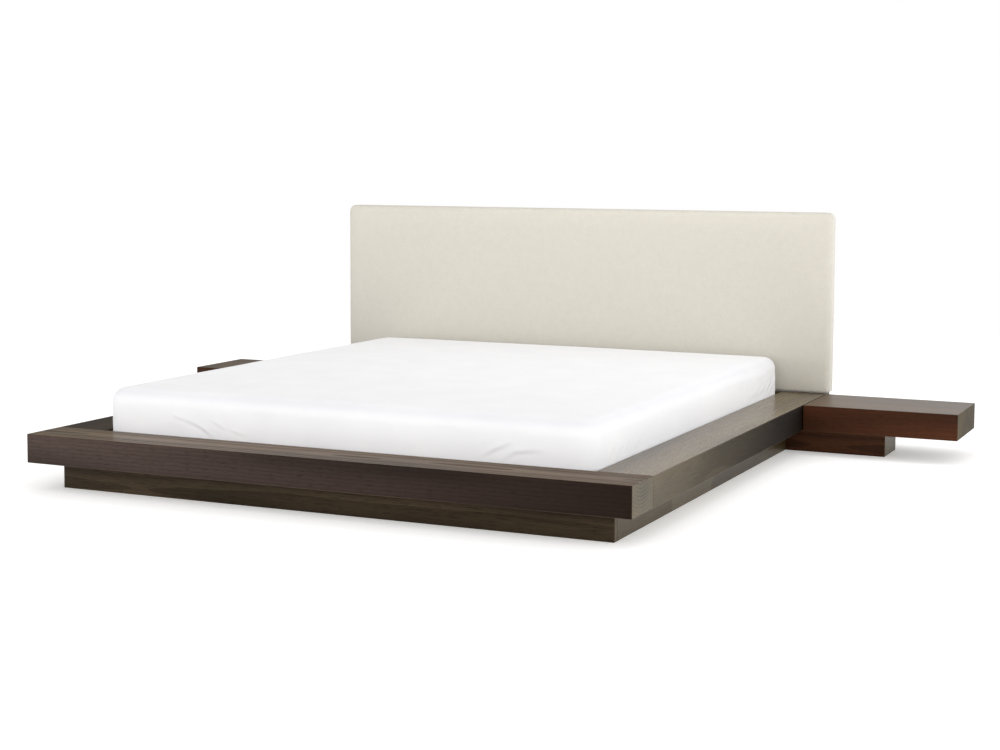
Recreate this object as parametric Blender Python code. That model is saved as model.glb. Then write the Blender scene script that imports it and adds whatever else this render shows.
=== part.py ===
"""A platform bed for a two-chamber water mattress, with a padded headboard and two bedside tables.

The origin is on the floor under the middle of the bed. +X is to the right seen from the foot end,
+Y runs to the headboard and +Z is up. All sizes are in metres.
"""

import math

import bmesh
import bpy
from mathutils import Matrix, Vector

# Clearances and cuts
touch_gap = 0.0003
cut_overrun = 0.002

# Mattress, to the outside of its fitted sheet
mattress_width = 1.80
mattress_length = 2.00
mattress_thickness = 0.225
mattress_side_clearance = 0.005
mattress_foot_clearance = 0.005
mattress_head_clearance = 0.025
mattress_crown = 0.006
mattress_corner_radius = 0.055
mattress_edge_radius = 0.035
mattress_side_draw = 0.0015

# Wooden frame
rail_width = 0.18
rail_height = 0.098
rail_wall = 0.018
rail_liner_thickness = 0.016
arris = 0.0012
plinth_height = 0.092
plinth_setback = 0.085
plinth_head_setback = 0.045
plinth_board_thickness = 0.022
beam_thickness = 0.018
cross_beam_count = 4
deck_thickness = 0.018
deck_panel_count = 3

# Headboard
headboard_overhang = 0.015
headboard_height = 0.725
headboard_corner_radius = 0.03
headboard_edge_radius = 0.022
headboard_crown = 0.004
headboard_side_draw = 0.0015
headboard_foam_draw = 0.003
headboard_foam_thickness = 0.042
headboard_core_thickness = 0.018
headboard_cover_thickness = 0.0015
headboard_cover_return = 0.045
back_cloth_thickness = 0.001
back_cloth_margin = 0.02
head_rail_wall = 0.016

# Struts behind the headboard and their bolts
strut_width = 0.07
strut_thickness = 0.022
strut_height = 0.56
strut_spacing = 1.30
strut_floor_gap = 0.098
strut_bolt_inset = 0.045
bolt_shank_radius = 0.004
bolt_head_radius = 0.009
bolt_head_height = 0.0045
bolt_socket_radius = 0.003
bolt_socket_depth = 0.0025
bolt_chamfer = 0.0015
bolt_tip_gap = 0.003

# Bedside tables
table_length = 0.58
table_depth = 0.36
table_rail_gap = 0.004
table_head_gap = 0.005
table_end_setback = 0.284
table_plinth_thickness = 0.016
bracket_thickness = 0.004
bracket_length = 0.10
bracket_width = 0.09

# Mattress cover, foam and liner
sheet_thickness = 0.0025
sheet_hem_height = 0.012
cover_wall = 0.004
cover_quilt_thickness = 0.012
cover_base_height = 0.085
cover_base_thickness = 0.003
cover_base_edge_radius = 0.008
bolster_base_width = 0.17
bolster_top_width = 0.11
liner_thickness = 0.001
divider_thickness = 0.02

# Heaters, under the liner
heater_width = 0.32
heater_length = 0.90
heater_thickness = 0.0015

# Fill valves and their caps
valve_from_foot = 0.42
valve_pocket_radius = 0.032
valve_pocket_depth = 0.021
valve_flange_radius = 0.029
valve_flange_thickness = 0.002
valve_neck_radius = 0.014
valve_neck_height = 0.013
valve_bore_radius = 0.0105
cap_wall = 0.003
cap_top_thickness = 0.003

# Heater controls, on the plinth under the head rail
control_spacing = 0.90
control_width = 0.12
control_height = 0.072
control_depth = 0.026
control_wall = 0.0025
dial_radius = 0.018
dial_height = 0.010
dial_taper = 0.0015
dial_offset = 0.022
dial_pointer_width = 0.003
dial_pointer_depth = 0.0012
dial_pointer_length = 0.012
spindle_radius = 0.003
spindle_clearance = 0.0005
spindle_length = 0.012
rocker_width = 0.013
rocker_height = 0.020
rocker_depth = 0.012
rocker_proud = 0.003
rocker_pivot_depth = 0.003
rocker_clearance = 0.0009
rocker_offset = 0.034
lead_hole_radius = 0.004

# Rest positions of the controls: the dial at its lowest mark, the rocker pressed to off
dial_start_degrees = 135
rocker_rest_degrees = 8

# Facets
turned_steps = 24
hole_steps = 16
edge_steps = 4
corner_steps = 3
span_steps = 6

# Heights
rail_bottom = plinth_height + touch_gap
rail_top = rail_bottom + rail_height
deck_top = rail_bottom + deck_thickness
cover_bottom = deck_top + touch_gap
heater_bottom = cover_bottom + cover_base_thickness + touch_gap
liner_bottom = heater_bottom + heater_thickness + touch_gap
core_bottom = liner_bottom + liner_thickness + touch_gap
sheet_top = deck_top + mattress_thickness
cover_top_height = sheet_top - sheet_thickness - touch_gap
core_top = cover_top_height - cover_quilt_thickness - touch_gap
bolster_bottom = cover_bottom + cover_base_thickness + touch_gap
headboard_bottom = rail_top + touch_gap
headboard_top = headboard_bottom + headboard_height

# Plan: the opening for the mattress and what stands round it
opening_width = mattress_width + 2 * mattress_side_clearance
opening_length = mattress_foot_clearance + mattress_length + mattress_head_clearance
platform_width = opening_width + 2 * rail_width
headboard_depth = (
    headboard_cover_thickness
    + headboard_foam_thickness
    + headboard_core_thickness
    + headboard_cover_thickness
    + 3 * touch_gap
)
head_rail_depth = headboard_depth + touch_gap + back_cloth_thickness
overall_length = (
    rail_width
    + opening_length
    + head_rail_depth
    + touch_gap
    + strut_thickness
    + touch_gap
    + bolt_head_height
)
foot_face = -overall_length / 2
opening_foot = foot_face + rail_width
opening_head = opening_foot + opening_length
mattress_foot = opening_foot + mattress_foot_clearance
mattress_middle = mattress_foot + mattress_length / 2
head_rail_back = opening_head + head_rail_depth
plinth_half_width = platform_width / 2 - plinth_setback
plinth_foot_face = foot_face + plinth_setback
plinth_head_face = head_rail_back - plinth_head_setback
strut_back = head_rail_back + touch_gap + strut_thickness

# Inside of the mattress cover
cover_half_width = mattress_width / 2 - sheet_thickness - touch_gap
cover_half_length = mattress_length / 2 - sheet_thickness - touch_gap
foam_half_width = cover_half_width - cover_wall - touch_gap
foam_half_length = cover_half_length - cover_wall - touch_gap

WALNUT_BROWN = (0.035, 0.022, 0.017)
RAW_BOARD = (0.55, 0.42, 0.28)
CREAM = (0.69, 0.66, 0.57)
FOAM = (0.80, 0.78, 0.66)
WHITE_COTTON = (0.88, 0.88, 0.88)
QUILT_GREY = (0.62, 0.63, 0.65)
VINYL_BLUE = (0.12, 0.25, 0.42)
LINER_GREY = (0.30, 0.33, 0.36)
HEATER_BLACK = (0.03, 0.03, 0.035)
STEEL = (0.45, 0.45, 0.46)
HOUSING_WHITE = (0.75, 0.75, 0.73)
DIAL_GREY = (0.18, 0.18, 0.19)
CLOTH_BLACK = (0.02, 0.02, 0.02)


def clear_scene():
    for obj in list(bpy.data.objects):
        bpy.data.objects.remove(obj, do_unlink=True)


def material(name, colour, roughness, metallic=0.0):
    made = bpy.data.materials.new(name)
    made.use_nodes = True
    shader = made.node_tree.nodes["Principled BSDF"]
    shader.inputs["Base Color"].default_value = (*colour, 1.0)
    shader.inputs["Roughness"].default_value = roughness
    shader.inputs["Metallic"].default_value = metallic
    return made


def add_object(name, mesh_maker, finish, origin=(0, 0, 0)):
    """Turns a bmesh in world places into an object whose origin is at the given point."""
    mesh = bpy.data.meshes.new(name)
    mesh_maker.transform(Matrix.Translation(-Vector(origin)))
    bmesh.ops.recalc_face_normals(mesh_maker, faces=mesh_maker.faces)
    mesh_maker.to_mesh(mesh)
    mesh_maker.free()
    obj = bpy.data.objects.new(name, mesh)
    obj.location = origin
    bpy.context.scene.collection.objects.link(obj)
    colour, roughness, metallic = finish
    mesh.materials.append(material(name, colour, roughness, metallic))
    return obj


def smooth(obj):
    obj.data.shade_smooth()
    obj.data.set_sharp_from_angle(angle=math.radians(30))
    return obj


def soften_edges(mesh, width):
    """Takes a small flat off every edge of a plain board or box."""
    bmesh.ops.bevel(mesh, geom=list(mesh.edges), offset=width, segments=1, affect="EDGES")
    return mesh


def hexahedron(bottom, top):
    """A closed block between two four-cornered faces, given in the same turning order."""
    mesh = bmesh.new()
    low = [mesh.verts.new(point) for point in bottom]
    high = [mesh.verts.new(point) for point in top]
    mesh.faces.new(list(reversed(low)))
    mesh.faces.new(high)
    for here in range(len(low)):
        after = (here + 1) % len(low)
        mesh.faces.new((low[here], low[after], high[after], high[here]))
    return mesh


def rectangle(x_low, x_high, y_low, y_high, z):
    return [(x_low, y_low, z), (x_high, y_low, z), (x_high, y_high, z), (x_low, y_high, z)]


def block(x_low, x_high, y_low, y_high, z_low, z_high):
    bottom = rectangle(x_low, x_high, y_low, y_high, z_low)
    top = rectangle(x_low, x_high, y_low, y_high, z_high)
    return hexahedron(bottom, top)


def hollow_from(mesh, open_side, wall, depth):
    """Sinks the face that looks along open_side into the block, leaving a wall all round it."""
    mesh.faces.ensure_lookup_table()
    mesh.normal_update()
    face = max(mesh.faces, key=lambda candidate: candidate.normal.dot(open_side))
    bmesh.ops.inset_region(mesh, faces=[face], thickness=wall, use_even_offset=True)
    sunk = bmesh.ops.extrude_face_region(mesh, geom=[face])["geom"]
    moved = [piece for piece in sunk if isinstance(piece, bmesh.types.BMVert)]
    bmesh.ops.translate(mesh, verts=moved, vec=-Vector(open_side) * depth)
    bmesh.ops.delete(mesh, geom=[face], context="FACES_ONLY")
    return mesh


def extruded(outline, start, end, to_world):
    """Extrudes a flat outline of (a, b) points; to_world turns (a, b, height) into a world point."""
    mesh = bmesh.new()
    near = [mesh.verts.new(to_world(a, b, start)) for a, b in outline]
    far = [mesh.verts.new(to_world(a, b, end)) for a, b in outline]
    mesh.faces.new(list(reversed(near)))
    mesh.faces.new(far)
    for here in range(len(outline)):
        after = (here + 1) % len(outline)
        mesh.faces.new((near[here], near[after], far[after], far[here]))
    return mesh


def turned(profile, centre, axis, steps=turned_steps):
    """Turns a profile of (radius, height) points, whose ends lie on the axis, round that axis."""
    mesh = bmesh.new()
    rings = []
    for radius, height in profile:
        if radius == 0:
            rings.append([mesh.verts.new((0, 0, height))])
            continue
        angles = [math.tau * step / steps for step in range(steps)]
        rings.append([mesh.verts.new((radius * math.cos(a), radius * math.sin(a), height)) for a in angles])
    for lower, upper in zip(rings, rings[1:]):
        for step in range(steps):
            after = (step + 1) % steps
            corners = [lower[step % len(lower)], lower[after % len(lower)]]
            corners += [upper[after % len(upper)], upper[step % len(upper)]]
            mesh.faces.new(list(dict.fromkeys(corners)))
    turn = Vector((0, 0, 1)).rotation_difference(Vector(axis)).to_matrix().to_4x4()
    mesh.transform(Matrix.Translation(centre) @ turn)
    return mesh


def turn_about(mesh, centre, degrees, axis):
    there = Matrix.Translation(centre)
    mesh.transform(there @ Matrix.Rotation(math.radians(degrees), 4, axis) @ there.inverted())


def cutter(name, mesh):
    obj = add_object(name, mesh, (STEEL, 0.5, 0.0))
    obj.hide_render = True
    obj.display_type = "WIRE"
    return obj


def cut(obj, tool):
    boolean = obj.modifiers.new(tool.name, "BOOLEAN")
    boolean.operation = "DIFFERENCE"
    boolean.solver = "EXACT"
    boolean.object = tool
    return obj


def line_places(half, corner, edge):
    """Grid lines from -half to half, close together over the rounded edge and the round corner."""
    turn = math.pi / 2 / edge_steps
    insets = [edge * (1 - math.cos(turn * step)) for step in range(edge_steps + 1)]
    if corner > edge:
        insets += [edge + (corner - edge) * step / corner_steps for step in range(1, corner_steps + 1)]
    near = [half - inset for inset in insets]
    inner = near[-1]
    middle = [inner * (1 - 2 * step / span_steps) for step in range(1, span_steps)]
    return sorted([-place for place in near] + middle + near)


def cushion_skin(mesh, half_x, half_y, corner, edge, crown, top, rows):
    """A crowned top with rounded edges and corners, then walls through rows of (height, outset).

    Returns the lowest ring of corners, in order."""
    columns = line_places(half_x, corner, edge)
    lines = line_places(half_y, corner, edge)
    grid = []
    normals = {}
    for y_line in lines:
        grid.append([])
        for x_line in columns:
            a = max(0.0, (abs(x_line) - (half_x - corner)) / corner)
            b = max(0.0, (abs(y_line) - (half_y - corner)) / corner)
            round_a = a * math.sqrt(1 - b * b / 2)
            round_b = b * math.sqrt(1 - a * a / 2)
            x = x_line if a == 0 else math.copysign(half_x - corner + corner * round_a, x_line)
            y = y_line if b == 0 else math.copysign(half_y - corner + corner * round_b, y_line)
            reach = math.hypot(round_a, round_b)
            into = max(0.0, edge - corner * (1 - reach))
            fall = edge - math.sqrt(max(0.0, edge * edge - into * into))
            rise = crown * (1 - (x / half_x) ** 2) * (1 - (y / half_y) ** 2)
            vertex = mesh.verts.new((x, y, top - fall + rise))
            grid[-1].append(vertex)
            if reach > 0:
                out_x = math.copysign(round_a, x_line) if a else 0.0
                out_y = math.copysign(round_b, y_line) if b else 0.0
                normals[vertex] = Vector((out_x, out_y, 0)).normalized()
    for row in range(len(lines) - 1):
        for column in range(len(columns) - 1):
            corners = (grid[row][column], grid[row][column + 1])
            corners += (grid[row + 1][column + 1], grid[row + 1][column])
            mesh.faces.new(corners)
    ring = grid[0][:-1] + [line[-1] for line in grid[:-1]]
    ring += list(reversed(grid[-1][1:])) + [line[0] for line in reversed(grid[1:])]
    for height, outset in rows:
        lower = [mesh.verts.new((*(v.co + normals[v] * outset).xy, height)) for v in ring]
        for here, vertex in enumerate(lower):
            normals[vertex] = normals[ring[here]]
        for here in range(len(ring)):
            after = (here + 1) % len(ring)
            mesh.faces.new((ring[here], lower[here], lower[after], ring[after]))
        ring = lower
    return ring


def join_rings(mesh, outer, inner):
    for here in range(len(outer)):
        after = (here + 1) % len(outer)
        mesh.faces.new((outer[here], inner[here], inner[after], outer[after]))


clear_scene()

wood = (WALNUT_BROWN, 0.35, 0.0)
board = (RAW_BOARD, 0.7, 0.0)
foam = (FOAM, 0.95, 0.0)
steel = (STEEL, 0.35, 1.0)
sides = (("left", -1), ("right", 1))


def span(first, second):
    return (min(first, second), max(first, second))


# Foot rail: a hollow veneered box across the whole width, open to the mattress side and closed there
# by a liner board.
half_platform = platform_width / 2
foot_rail = block(-half_platform, half_platform, foot_face, opening_foot, rail_bottom, rail_top)
soften_edges(foot_rail, arris)
hollow_from(foot_rail, Vector((0, 1, 0)), rail_wall - arris, rail_width - rail_wall)
add_object("foot_rail", foot_rail, wood)

liner_low = rail_bottom + rail_wall + touch_gap
liner_high = rail_top - rail_wall - touch_gap
liner_reach = half_platform - rail_wall - touch_gap
foot_liner = block(
    -liner_reach,
    liner_reach,
    opening_foot - rail_liner_thickness,
    opening_foot,
    liner_low,
    liner_high,
)
add_object("foot_rail_liner", foot_liner, wood)

# Side rails: the same box, between the foot rail and the head rail.
side_rail_foot = opening_foot + touch_gap
side_rail_head = opening_head - touch_gap
for side, sign in sides:
    x_low, x_high = span(sign * opening_width / 2, sign * half_platform)
    rail = block(x_low, x_high, side_rail_foot, side_rail_head, rail_bottom, rail_top)
    soften_edges(rail, arris)
    hollow_from(rail, Vector((-sign, 0, 0)), rail_wall - arris, rail_width - rail_wall)
    add_object(f"side_rail_{side}", rail, wood)
    x_low, x_high = span(sign * opening_width / 2, sign * (opening_width / 2 + rail_liner_thickness))
    liner = block(
        x_low,
        x_high,
        side_rail_foot + rail_wall + touch_gap,
        side_rail_head - rail_wall - touch_gap,
        liner_low,
        liner_high,
    )
    add_object(f"side_rail_liner_{side}", liner, wood)

# Head rail: a slimmer box under the headboard, open below. The lower strut bolts go through its back.
head_rail = block(-half_platform, half_platform, opening_head, head_rail_back, rail_bottom, rail_top)
soften_edges(head_rail, arris)
hollow_from(head_rail, Vector((0, 0, -1)), head_rail_wall - arris, rail_height - head_rail_wall)
head_rail_object = add_object("head_rail", head_rail, wood)

# Plinth: four boards on edge, set back under the rails.
plinth_foot = block(
    -plinth_half_width,
    plinth_half_width,
    plinth_foot_face,
    plinth_foot_face + plinth_board_thickness,
    0,
    plinth_height,
)
add_object("plinth_board_foot", soften_edges(plinth_foot, arris), wood)
plinth_head = block(
    -plinth_half_width,
    plinth_half_width,
    plinth_head_face - plinth_board_thickness,
    plinth_head_face,
    0,
    plinth_height,
)
add_object("plinth_board_head", soften_edges(plinth_head, arris), wood)
plinth_inside_foot = plinth_foot_face + plinth_board_thickness + touch_gap
plinth_inside_head = plinth_head_face - plinth_board_thickness - touch_gap
for side, sign in sides:
    x_low, x_high = span(sign * (plinth_half_width - plinth_board_thickness), sign * plinth_half_width)
    plinth_side = block(x_low, x_high, plinth_inside_foot, plinth_inside_head, 0, plinth_height)
    add_object(f"plinth_board_{side}", soften_edges(plinth_side, arris), wood)

# Pedestal: a spine along the bed and cross beams over it, halved into each other.
beam_reach = plinth_half_width - plinth_board_thickness - touch_gap
slot_half = beam_thickness / 2 + touch_gap
halving = plinth_height / 2
pitch = (plinth_inside_head - plinth_inside_foot) / (cross_beam_count + 1)
beam_places = [plinth_inside_foot + pitch * (place + 1) for place in range(cross_beam_count)]
spine_outline = [(plinth_inside_foot, 0), (plinth_inside_head, 0), (plinth_inside_head, plinth_height)]
for place in reversed(beam_places):
    spine_outline += [
        (place + slot_half, plinth_height),
        (place + slot_half, halving - touch_gap),
        (place - slot_half, halving - touch_gap),
        (place - slot_half, plinth_height),
    ]
spine_outline.append((plinth_inside_foot, plinth_height))
spine = extruded(spine_outline, -beam_thickness / 2, beam_thickness / 2, lambda a, b, h: (h, a, b))
add_object("centre_spine", spine, board)
beam_outline = [
    (-beam_reach, 0),
    (-slot_half, 0),
    (-slot_half, halving),
    (slot_half, halving),
    (slot_half, 0),
    (beam_reach, 0),
    (beam_reach, plinth_height),
    (-beam_reach, plinth_height),
]
for number, place in enumerate(beam_places, 1):
    start = place - beam_thickness / 2
    beam = extruded(beam_outline, start, start + beam_thickness, lambda a, b, h: (a, h, b))
    add_object(f"cross_beam_{number}", beam, board)

# Deck: panels laid across the beams, between the rails.
deck_half_width = opening_width / 2 - touch_gap
deck_panel_length = (opening_length - (deck_panel_count + 1) * touch_gap) / deck_panel_count
for number in range(deck_panel_count):
    start = opening_foot + touch_gap + number * (deck_panel_length + touch_gap)
    panel = block(-deck_half_width, deck_half_width, start, start + deck_panel_length, rail_bottom, deck_top)
    add_object(f"deck_panel_{number + 1}", panel, board)

# Headboard: a board core with foam in front of it, under one cover that turns in over the back.
headboard_half_width = platform_width / 2 + headboard_overhang
headboard_half_height = headboard_height / 2
headboard_middle = headboard_bottom + headboard_half_height
upright = Matrix.Translation((0, opening_head, headboard_middle)) @ Matrix.Rotation(math.pi / 2, 4, "X")


def draw_rows(edge_level, lowest_level, draw):
    """Two rows down a soft side: drawn in half way, and out again at the bottom."""
    return [((edge_level + lowest_level) / 2, -draw), (lowest_level, draw)]


cover_inset = headboard_cover_thickness
pad_inset = cover_inset + touch_gap
cover_mesh = bmesh.new()
cover_rows = draw_rows(-headboard_edge_radius, -headboard_depth, headboard_side_draw)
cover_outer = cushion_skin(
    cover_mesh,
    headboard_half_width,
    headboard_half_height,
    headboard_corner_radius,
    headboard_edge_radius,
    headboard_crown,
    0,
    cover_rows,
)
inner_back = -headboard_depth + cover_inset
cover_inner = cushion_skin(
    cover_mesh,
    headboard_half_width - cover_inset,
    headboard_half_height - cover_inset,
    headboard_corner_radius - cover_inset,
    headboard_edge_radius - cover_inset,
    headboard_crown,
    -cover_inset,
    draw_rows(-headboard_edge_radius, inner_back, headboard_side_draw),
)


def window(ring, depth):
    """The edge of the cover's return on the back, as far in from the sides all round."""
    points = []
    for vertex in ring:
        x_limit = headboard_half_width - headboard_cover_return
        y_limit = headboard_half_height - headboard_cover_return
        x = max(-x_limit, min(x_limit, vertex.co.x))
        y = max(-y_limit, min(y_limit, vertex.co.y))
        points.append((x, y, depth))
    return points


def inward_ring(mesh, ring, depth):
    """Joins a ring to the window; points that fall together at a corner become one."""
    made = {}
    inside = []
    for point in window(ring, depth):
        key = tuple(round(value / touch_gap) for value in point)
        if key not in made:
            made[key] = mesh.verts.new(point)
        inside.append(made[key])
    for here in range(len(ring)):
        after = (here + 1) % len(ring)
        corners = [ring[here], inside[here], inside[after], ring[after]]
        mesh.faces.new(list(dict.fromkeys(corners)))
    return inside


window_outer = inward_ring(cover_mesh, cover_outer, -headboard_depth)
window_inner = inward_ring(cover_mesh, cover_inner, inner_back)
for here in range(len(window_outer)):
    after = (here + 1) % len(window_outer)
    if window_outer[here] is window_outer[after]:
        continue
    corners = (window_outer[here], window_inner[here], window_inner[after], window_outer[after])
    cover_mesh.faces.new(corners)
cover_mesh.transform(upright)
smooth(add_object("headboard_cover", cover_mesh, (CREAM, 0.45, 0.0)))

foam_mesh = bmesh.new()
foam_back = -(pad_inset + headboard_foam_thickness)
foam_ring = cushion_skin(
    foam_mesh,
    headboard_half_width - pad_inset,
    headboard_half_height - pad_inset,
    headboard_corner_radius - pad_inset,
    headboard_edge_radius - pad_inset,
    headboard_crown,
    -pad_inset,
    [(foam_back, -headboard_foam_draw)],
)
foam_mesh.faces.new(foam_ring)
foam_mesh.transform(upright)
smooth(add_object("headboard_foam", foam_mesh, foam))

core_front = opening_head - foam_back + touch_gap
core_half_width = headboard_half_width - pad_inset - headboard_foam_draw
core_half_height = headboard_half_height - pad_inset - headboard_foam_draw
core_corner = headboard_corner_radius - pad_inset
core_outline = []
for quarter, (x_sign, z_sign) in enumerate(((1, 1), (-1, 1), (-1, -1), (1, -1))):
    for step in range(corner_steps + 1):
        angle = math.pi / 2 * (quarter + step / corner_steps)
        x = x_sign * (core_half_width - core_corner) + core_corner * math.cos(angle)
        z = z_sign * (core_half_height - core_corner) + core_corner * math.sin(angle)
        core_outline.append((x, headboard_middle + z))
core = extruded(core_outline, core_front, core_front + headboard_core_thickness, lambda a, b, h: (a, h, b))
core_object = add_object("headboard_core", core, board)

cloth_front = opening_head + headboard_depth + touch_gap
cloth = block(
    -(headboard_half_width - back_cloth_margin),
    headboard_half_width - back_cloth_margin,
    cloth_front,
    cloth_front + back_cloth_thickness,
    headboard_bottom + back_cloth_margin,
    headboard_top - back_cloth_margin,
)
cloth_object = add_object("headboard_back_cloth", cloth, (CLOTH_BLACK, 0.9, 0.0))

# Struts: battens behind the headboard, bolted to the head rail below and to the core above.
strut_front = head_rail_back + touch_gap
bolt_places = (strut_floor_gap + strut_bolt_inset, strut_floor_gap + strut_height - strut_bolt_inset)
bolt_ends = (
    head_rail_back - head_rail_wall + touch_gap,
    core_front + bolt_tip_gap,
)
bolt_names = ("lower", "upper")
for side, sign in sides:
    middle = sign * strut_spacing / 2
    strut = block(
        middle - strut_width / 2,
        middle + strut_width / 2,
        strut_front,
        strut_back,
        strut_floor_gap,
        strut_floor_gap + strut_height,
    )
    strut_object = add_object(f"headboard_strut_{side}", soften_edges(strut, arris), wood)
    for name, height, tip in zip(bolt_names, bolt_places, bolt_ends):
        head_seat = strut_back + touch_gap
        head_face = head_seat + bolt_head_height
        bolt = turned(
            [
                (0, tip),
                (bolt_shank_radius, tip),
                (bolt_shank_radius, head_seat),
                (bolt_head_radius, head_seat),
                (bolt_head_radius, head_face - bolt_chamfer),
                (bolt_head_radius - bolt_chamfer, head_face),
                (bolt_socket_radius, head_face),
                (bolt_socket_radius, head_face - bolt_socket_depth),
                (0, head_face - bolt_socket_depth),
            ],
            (middle, 0, height),
            (0, 1, 0),
        )
        smooth(add_object(f"strut_bolt_{side}_{name}", bolt, steel))
        hole_radius = bolt_shank_radius + touch_gap
        hole_start = tip - touch_gap
        hole_end = strut_back + cut_overrun
        hole = turned(
            [(0, hole_start), (hole_radius, hole_start), (hole_radius, hole_end), (0, hole_end)],
            (middle, 0, height),
            (0, 1, 0),
            hole_steps,
        )
        tool = cutter(f"bolt_hole_{side}_{name}", hole)
        cut(strut_object, tool)
        if name == "lower":
            cut(head_rail_object, tool)
        else:
            cut(core_object, tool)
            cut(cloth_object, tool)

# Bedside tables: a hollow box beside the rail, on a small plinth, tied to the rail by a steel plate.
table_head = opening_head + table_head_gap
table_foot = table_head - table_depth
for side, sign in sides:
    table_inner = half_platform + table_rail_gap
    table_outer = table_inner + table_length
    x_low, x_high = span(sign * table_inner, sign * table_outer)
    box = block(x_low, x_high, table_foot, table_head, rail_bottom, rail_top)
    soften_edges(box, arris)
    hollow_from(box, Vector((-sign, 0, 0)), rail_wall - arris, table_length - rail_wall)
    add_object(f"table_box_{side}", box, wood)

    near = plinth_half_width + touch_gap
    far = table_outer - table_end_setback
    front = table_foot + plinth_setback
    back = table_head - plinth_setback
    wall = table_plinth_thickness
    plinth_outline = [
        (sign * near, front),
        (sign * far, front),
        (sign * far, back),
        (sign * near, back),
        (sign * near, back - wall),
        (sign * (far - wall), back - wall),
        (sign * (far - wall), front + wall),
        (sign * near, front + wall),
    ]
    table_plinth = extruded(plinth_outline, 0, plinth_height, lambda a, b, h: (a, b, h))
    bmesh.ops.recalc_face_normals(table_plinth, faces=table_plinth.faces)
    add_object(f"table_plinth_{side}", soften_edges(table_plinth, arris), wood)

    seam = half_platform + table_rail_gap / 2
    x_low, x_high = span(sign * (seam - bracket_length / 2), sign * (seam + bracket_length / 2))
    middle = (front + back) / 2
    bracket = block(
        x_low,
        x_high,
        middle - bracket_width / 2,
        middle + bracket_width / 2,
        plinth_height - bracket_thickness,
        plinth_height,
    )
    add_object(f"table_bracket_{side}", bracket, steel)

# Mattress cover: a base tray and a quilted top that zip together, under a fitted sheet.
on_bed = Matrix.Translation((0, mattress_middle, 0))
zip_level = cover_bottom + cover_base_height

base_mesh = bmesh.new()
base_corner = mattress_corner_radius - sheet_thickness - touch_gap
base_outer = cushion_skin(
    base_mesh,
    cover_half_width,
    cover_half_length,
    base_corner,
    cover_base_edge_radius,
    0,
    -cover_bottom,
    [(-zip_level + touch_gap / 2, 0)],
)
base_inner = cushion_skin(
    base_mesh,
    cover_half_width - cover_wall,
    cover_half_length - cover_wall,
    base_corner - cover_wall,
    cover_base_edge_radius - cover_wall,
    0,
    -cover_bottom - cover_base_thickness,
    [(-zip_level + touch_gap / 2, 0)],
)
join_rings(base_mesh, base_outer, base_inner)
base_mesh.transform(on_bed @ Matrix.Rotation(math.pi, 4, "X"))
smooth(add_object("cover_base", base_mesh, (QUILT_GREY, 0.9, 0.0)))

top_mesh = bmesh.new()
top_edge = mattress_edge_radius - sheet_thickness - touch_gap
top_outer = cushion_skin(
    top_mesh,
    cover_half_width,
    cover_half_length,
    base_corner,
    top_edge,
    mattress_crown,
    cover_top_height,
    [(zip_level + touch_gap / 2, 0)],
)
top_inner = cushion_skin(
    top_mesh,
    cover_half_width - cover_wall,
    cover_half_length - cover_wall,
    base_corner - cover_wall,
    top_edge - cover_wall,
    0,
    cover_top_height - cover_quilt_thickness,
    [(zip_level + touch_gap / 2, 0)],
)
join_rings(top_mesh, top_outer, top_inner)
top_mesh.transform(on_bed)
smooth(add_object("cover_top", top_mesh, (QUILT_GREY, 0.9, 0.0)))

sheet_mesh = bmesh.new()
hem_level = cover_bottom + sheet_hem_height
sheet_outer = cushion_skin(
    sheet_mesh,
    mattress_width / 2,
    mattress_length / 2,
    mattress_corner_radius,
    mattress_edge_radius,
    mattress_crown,
    sheet_top,
    draw_rows(sheet_top - mattress_edge_radius, hem_level, mattress_side_draw),
)
sheet_inner = cushion_skin(
    sheet_mesh,
    mattress_width / 2 - sheet_thickness,
    mattress_length / 2 - sheet_thickness,
    mattress_corner_radius - sheet_thickness,
    mattress_edge_radius - sheet_thickness,
    mattress_crown,
    sheet_top - sheet_thickness,
    [(sheet_top - mattress_edge_radius - sheet_thickness, 0), (hem_level, 0)],
)
join_rings(sheet_mesh, sheet_outer, sheet_inner)
sheet_mesh.transform(on_bed)
smooth(add_object("fitted_sheet", sheet_mesh, (WHITE_COTTON, 0.85, 0.0)))

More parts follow.
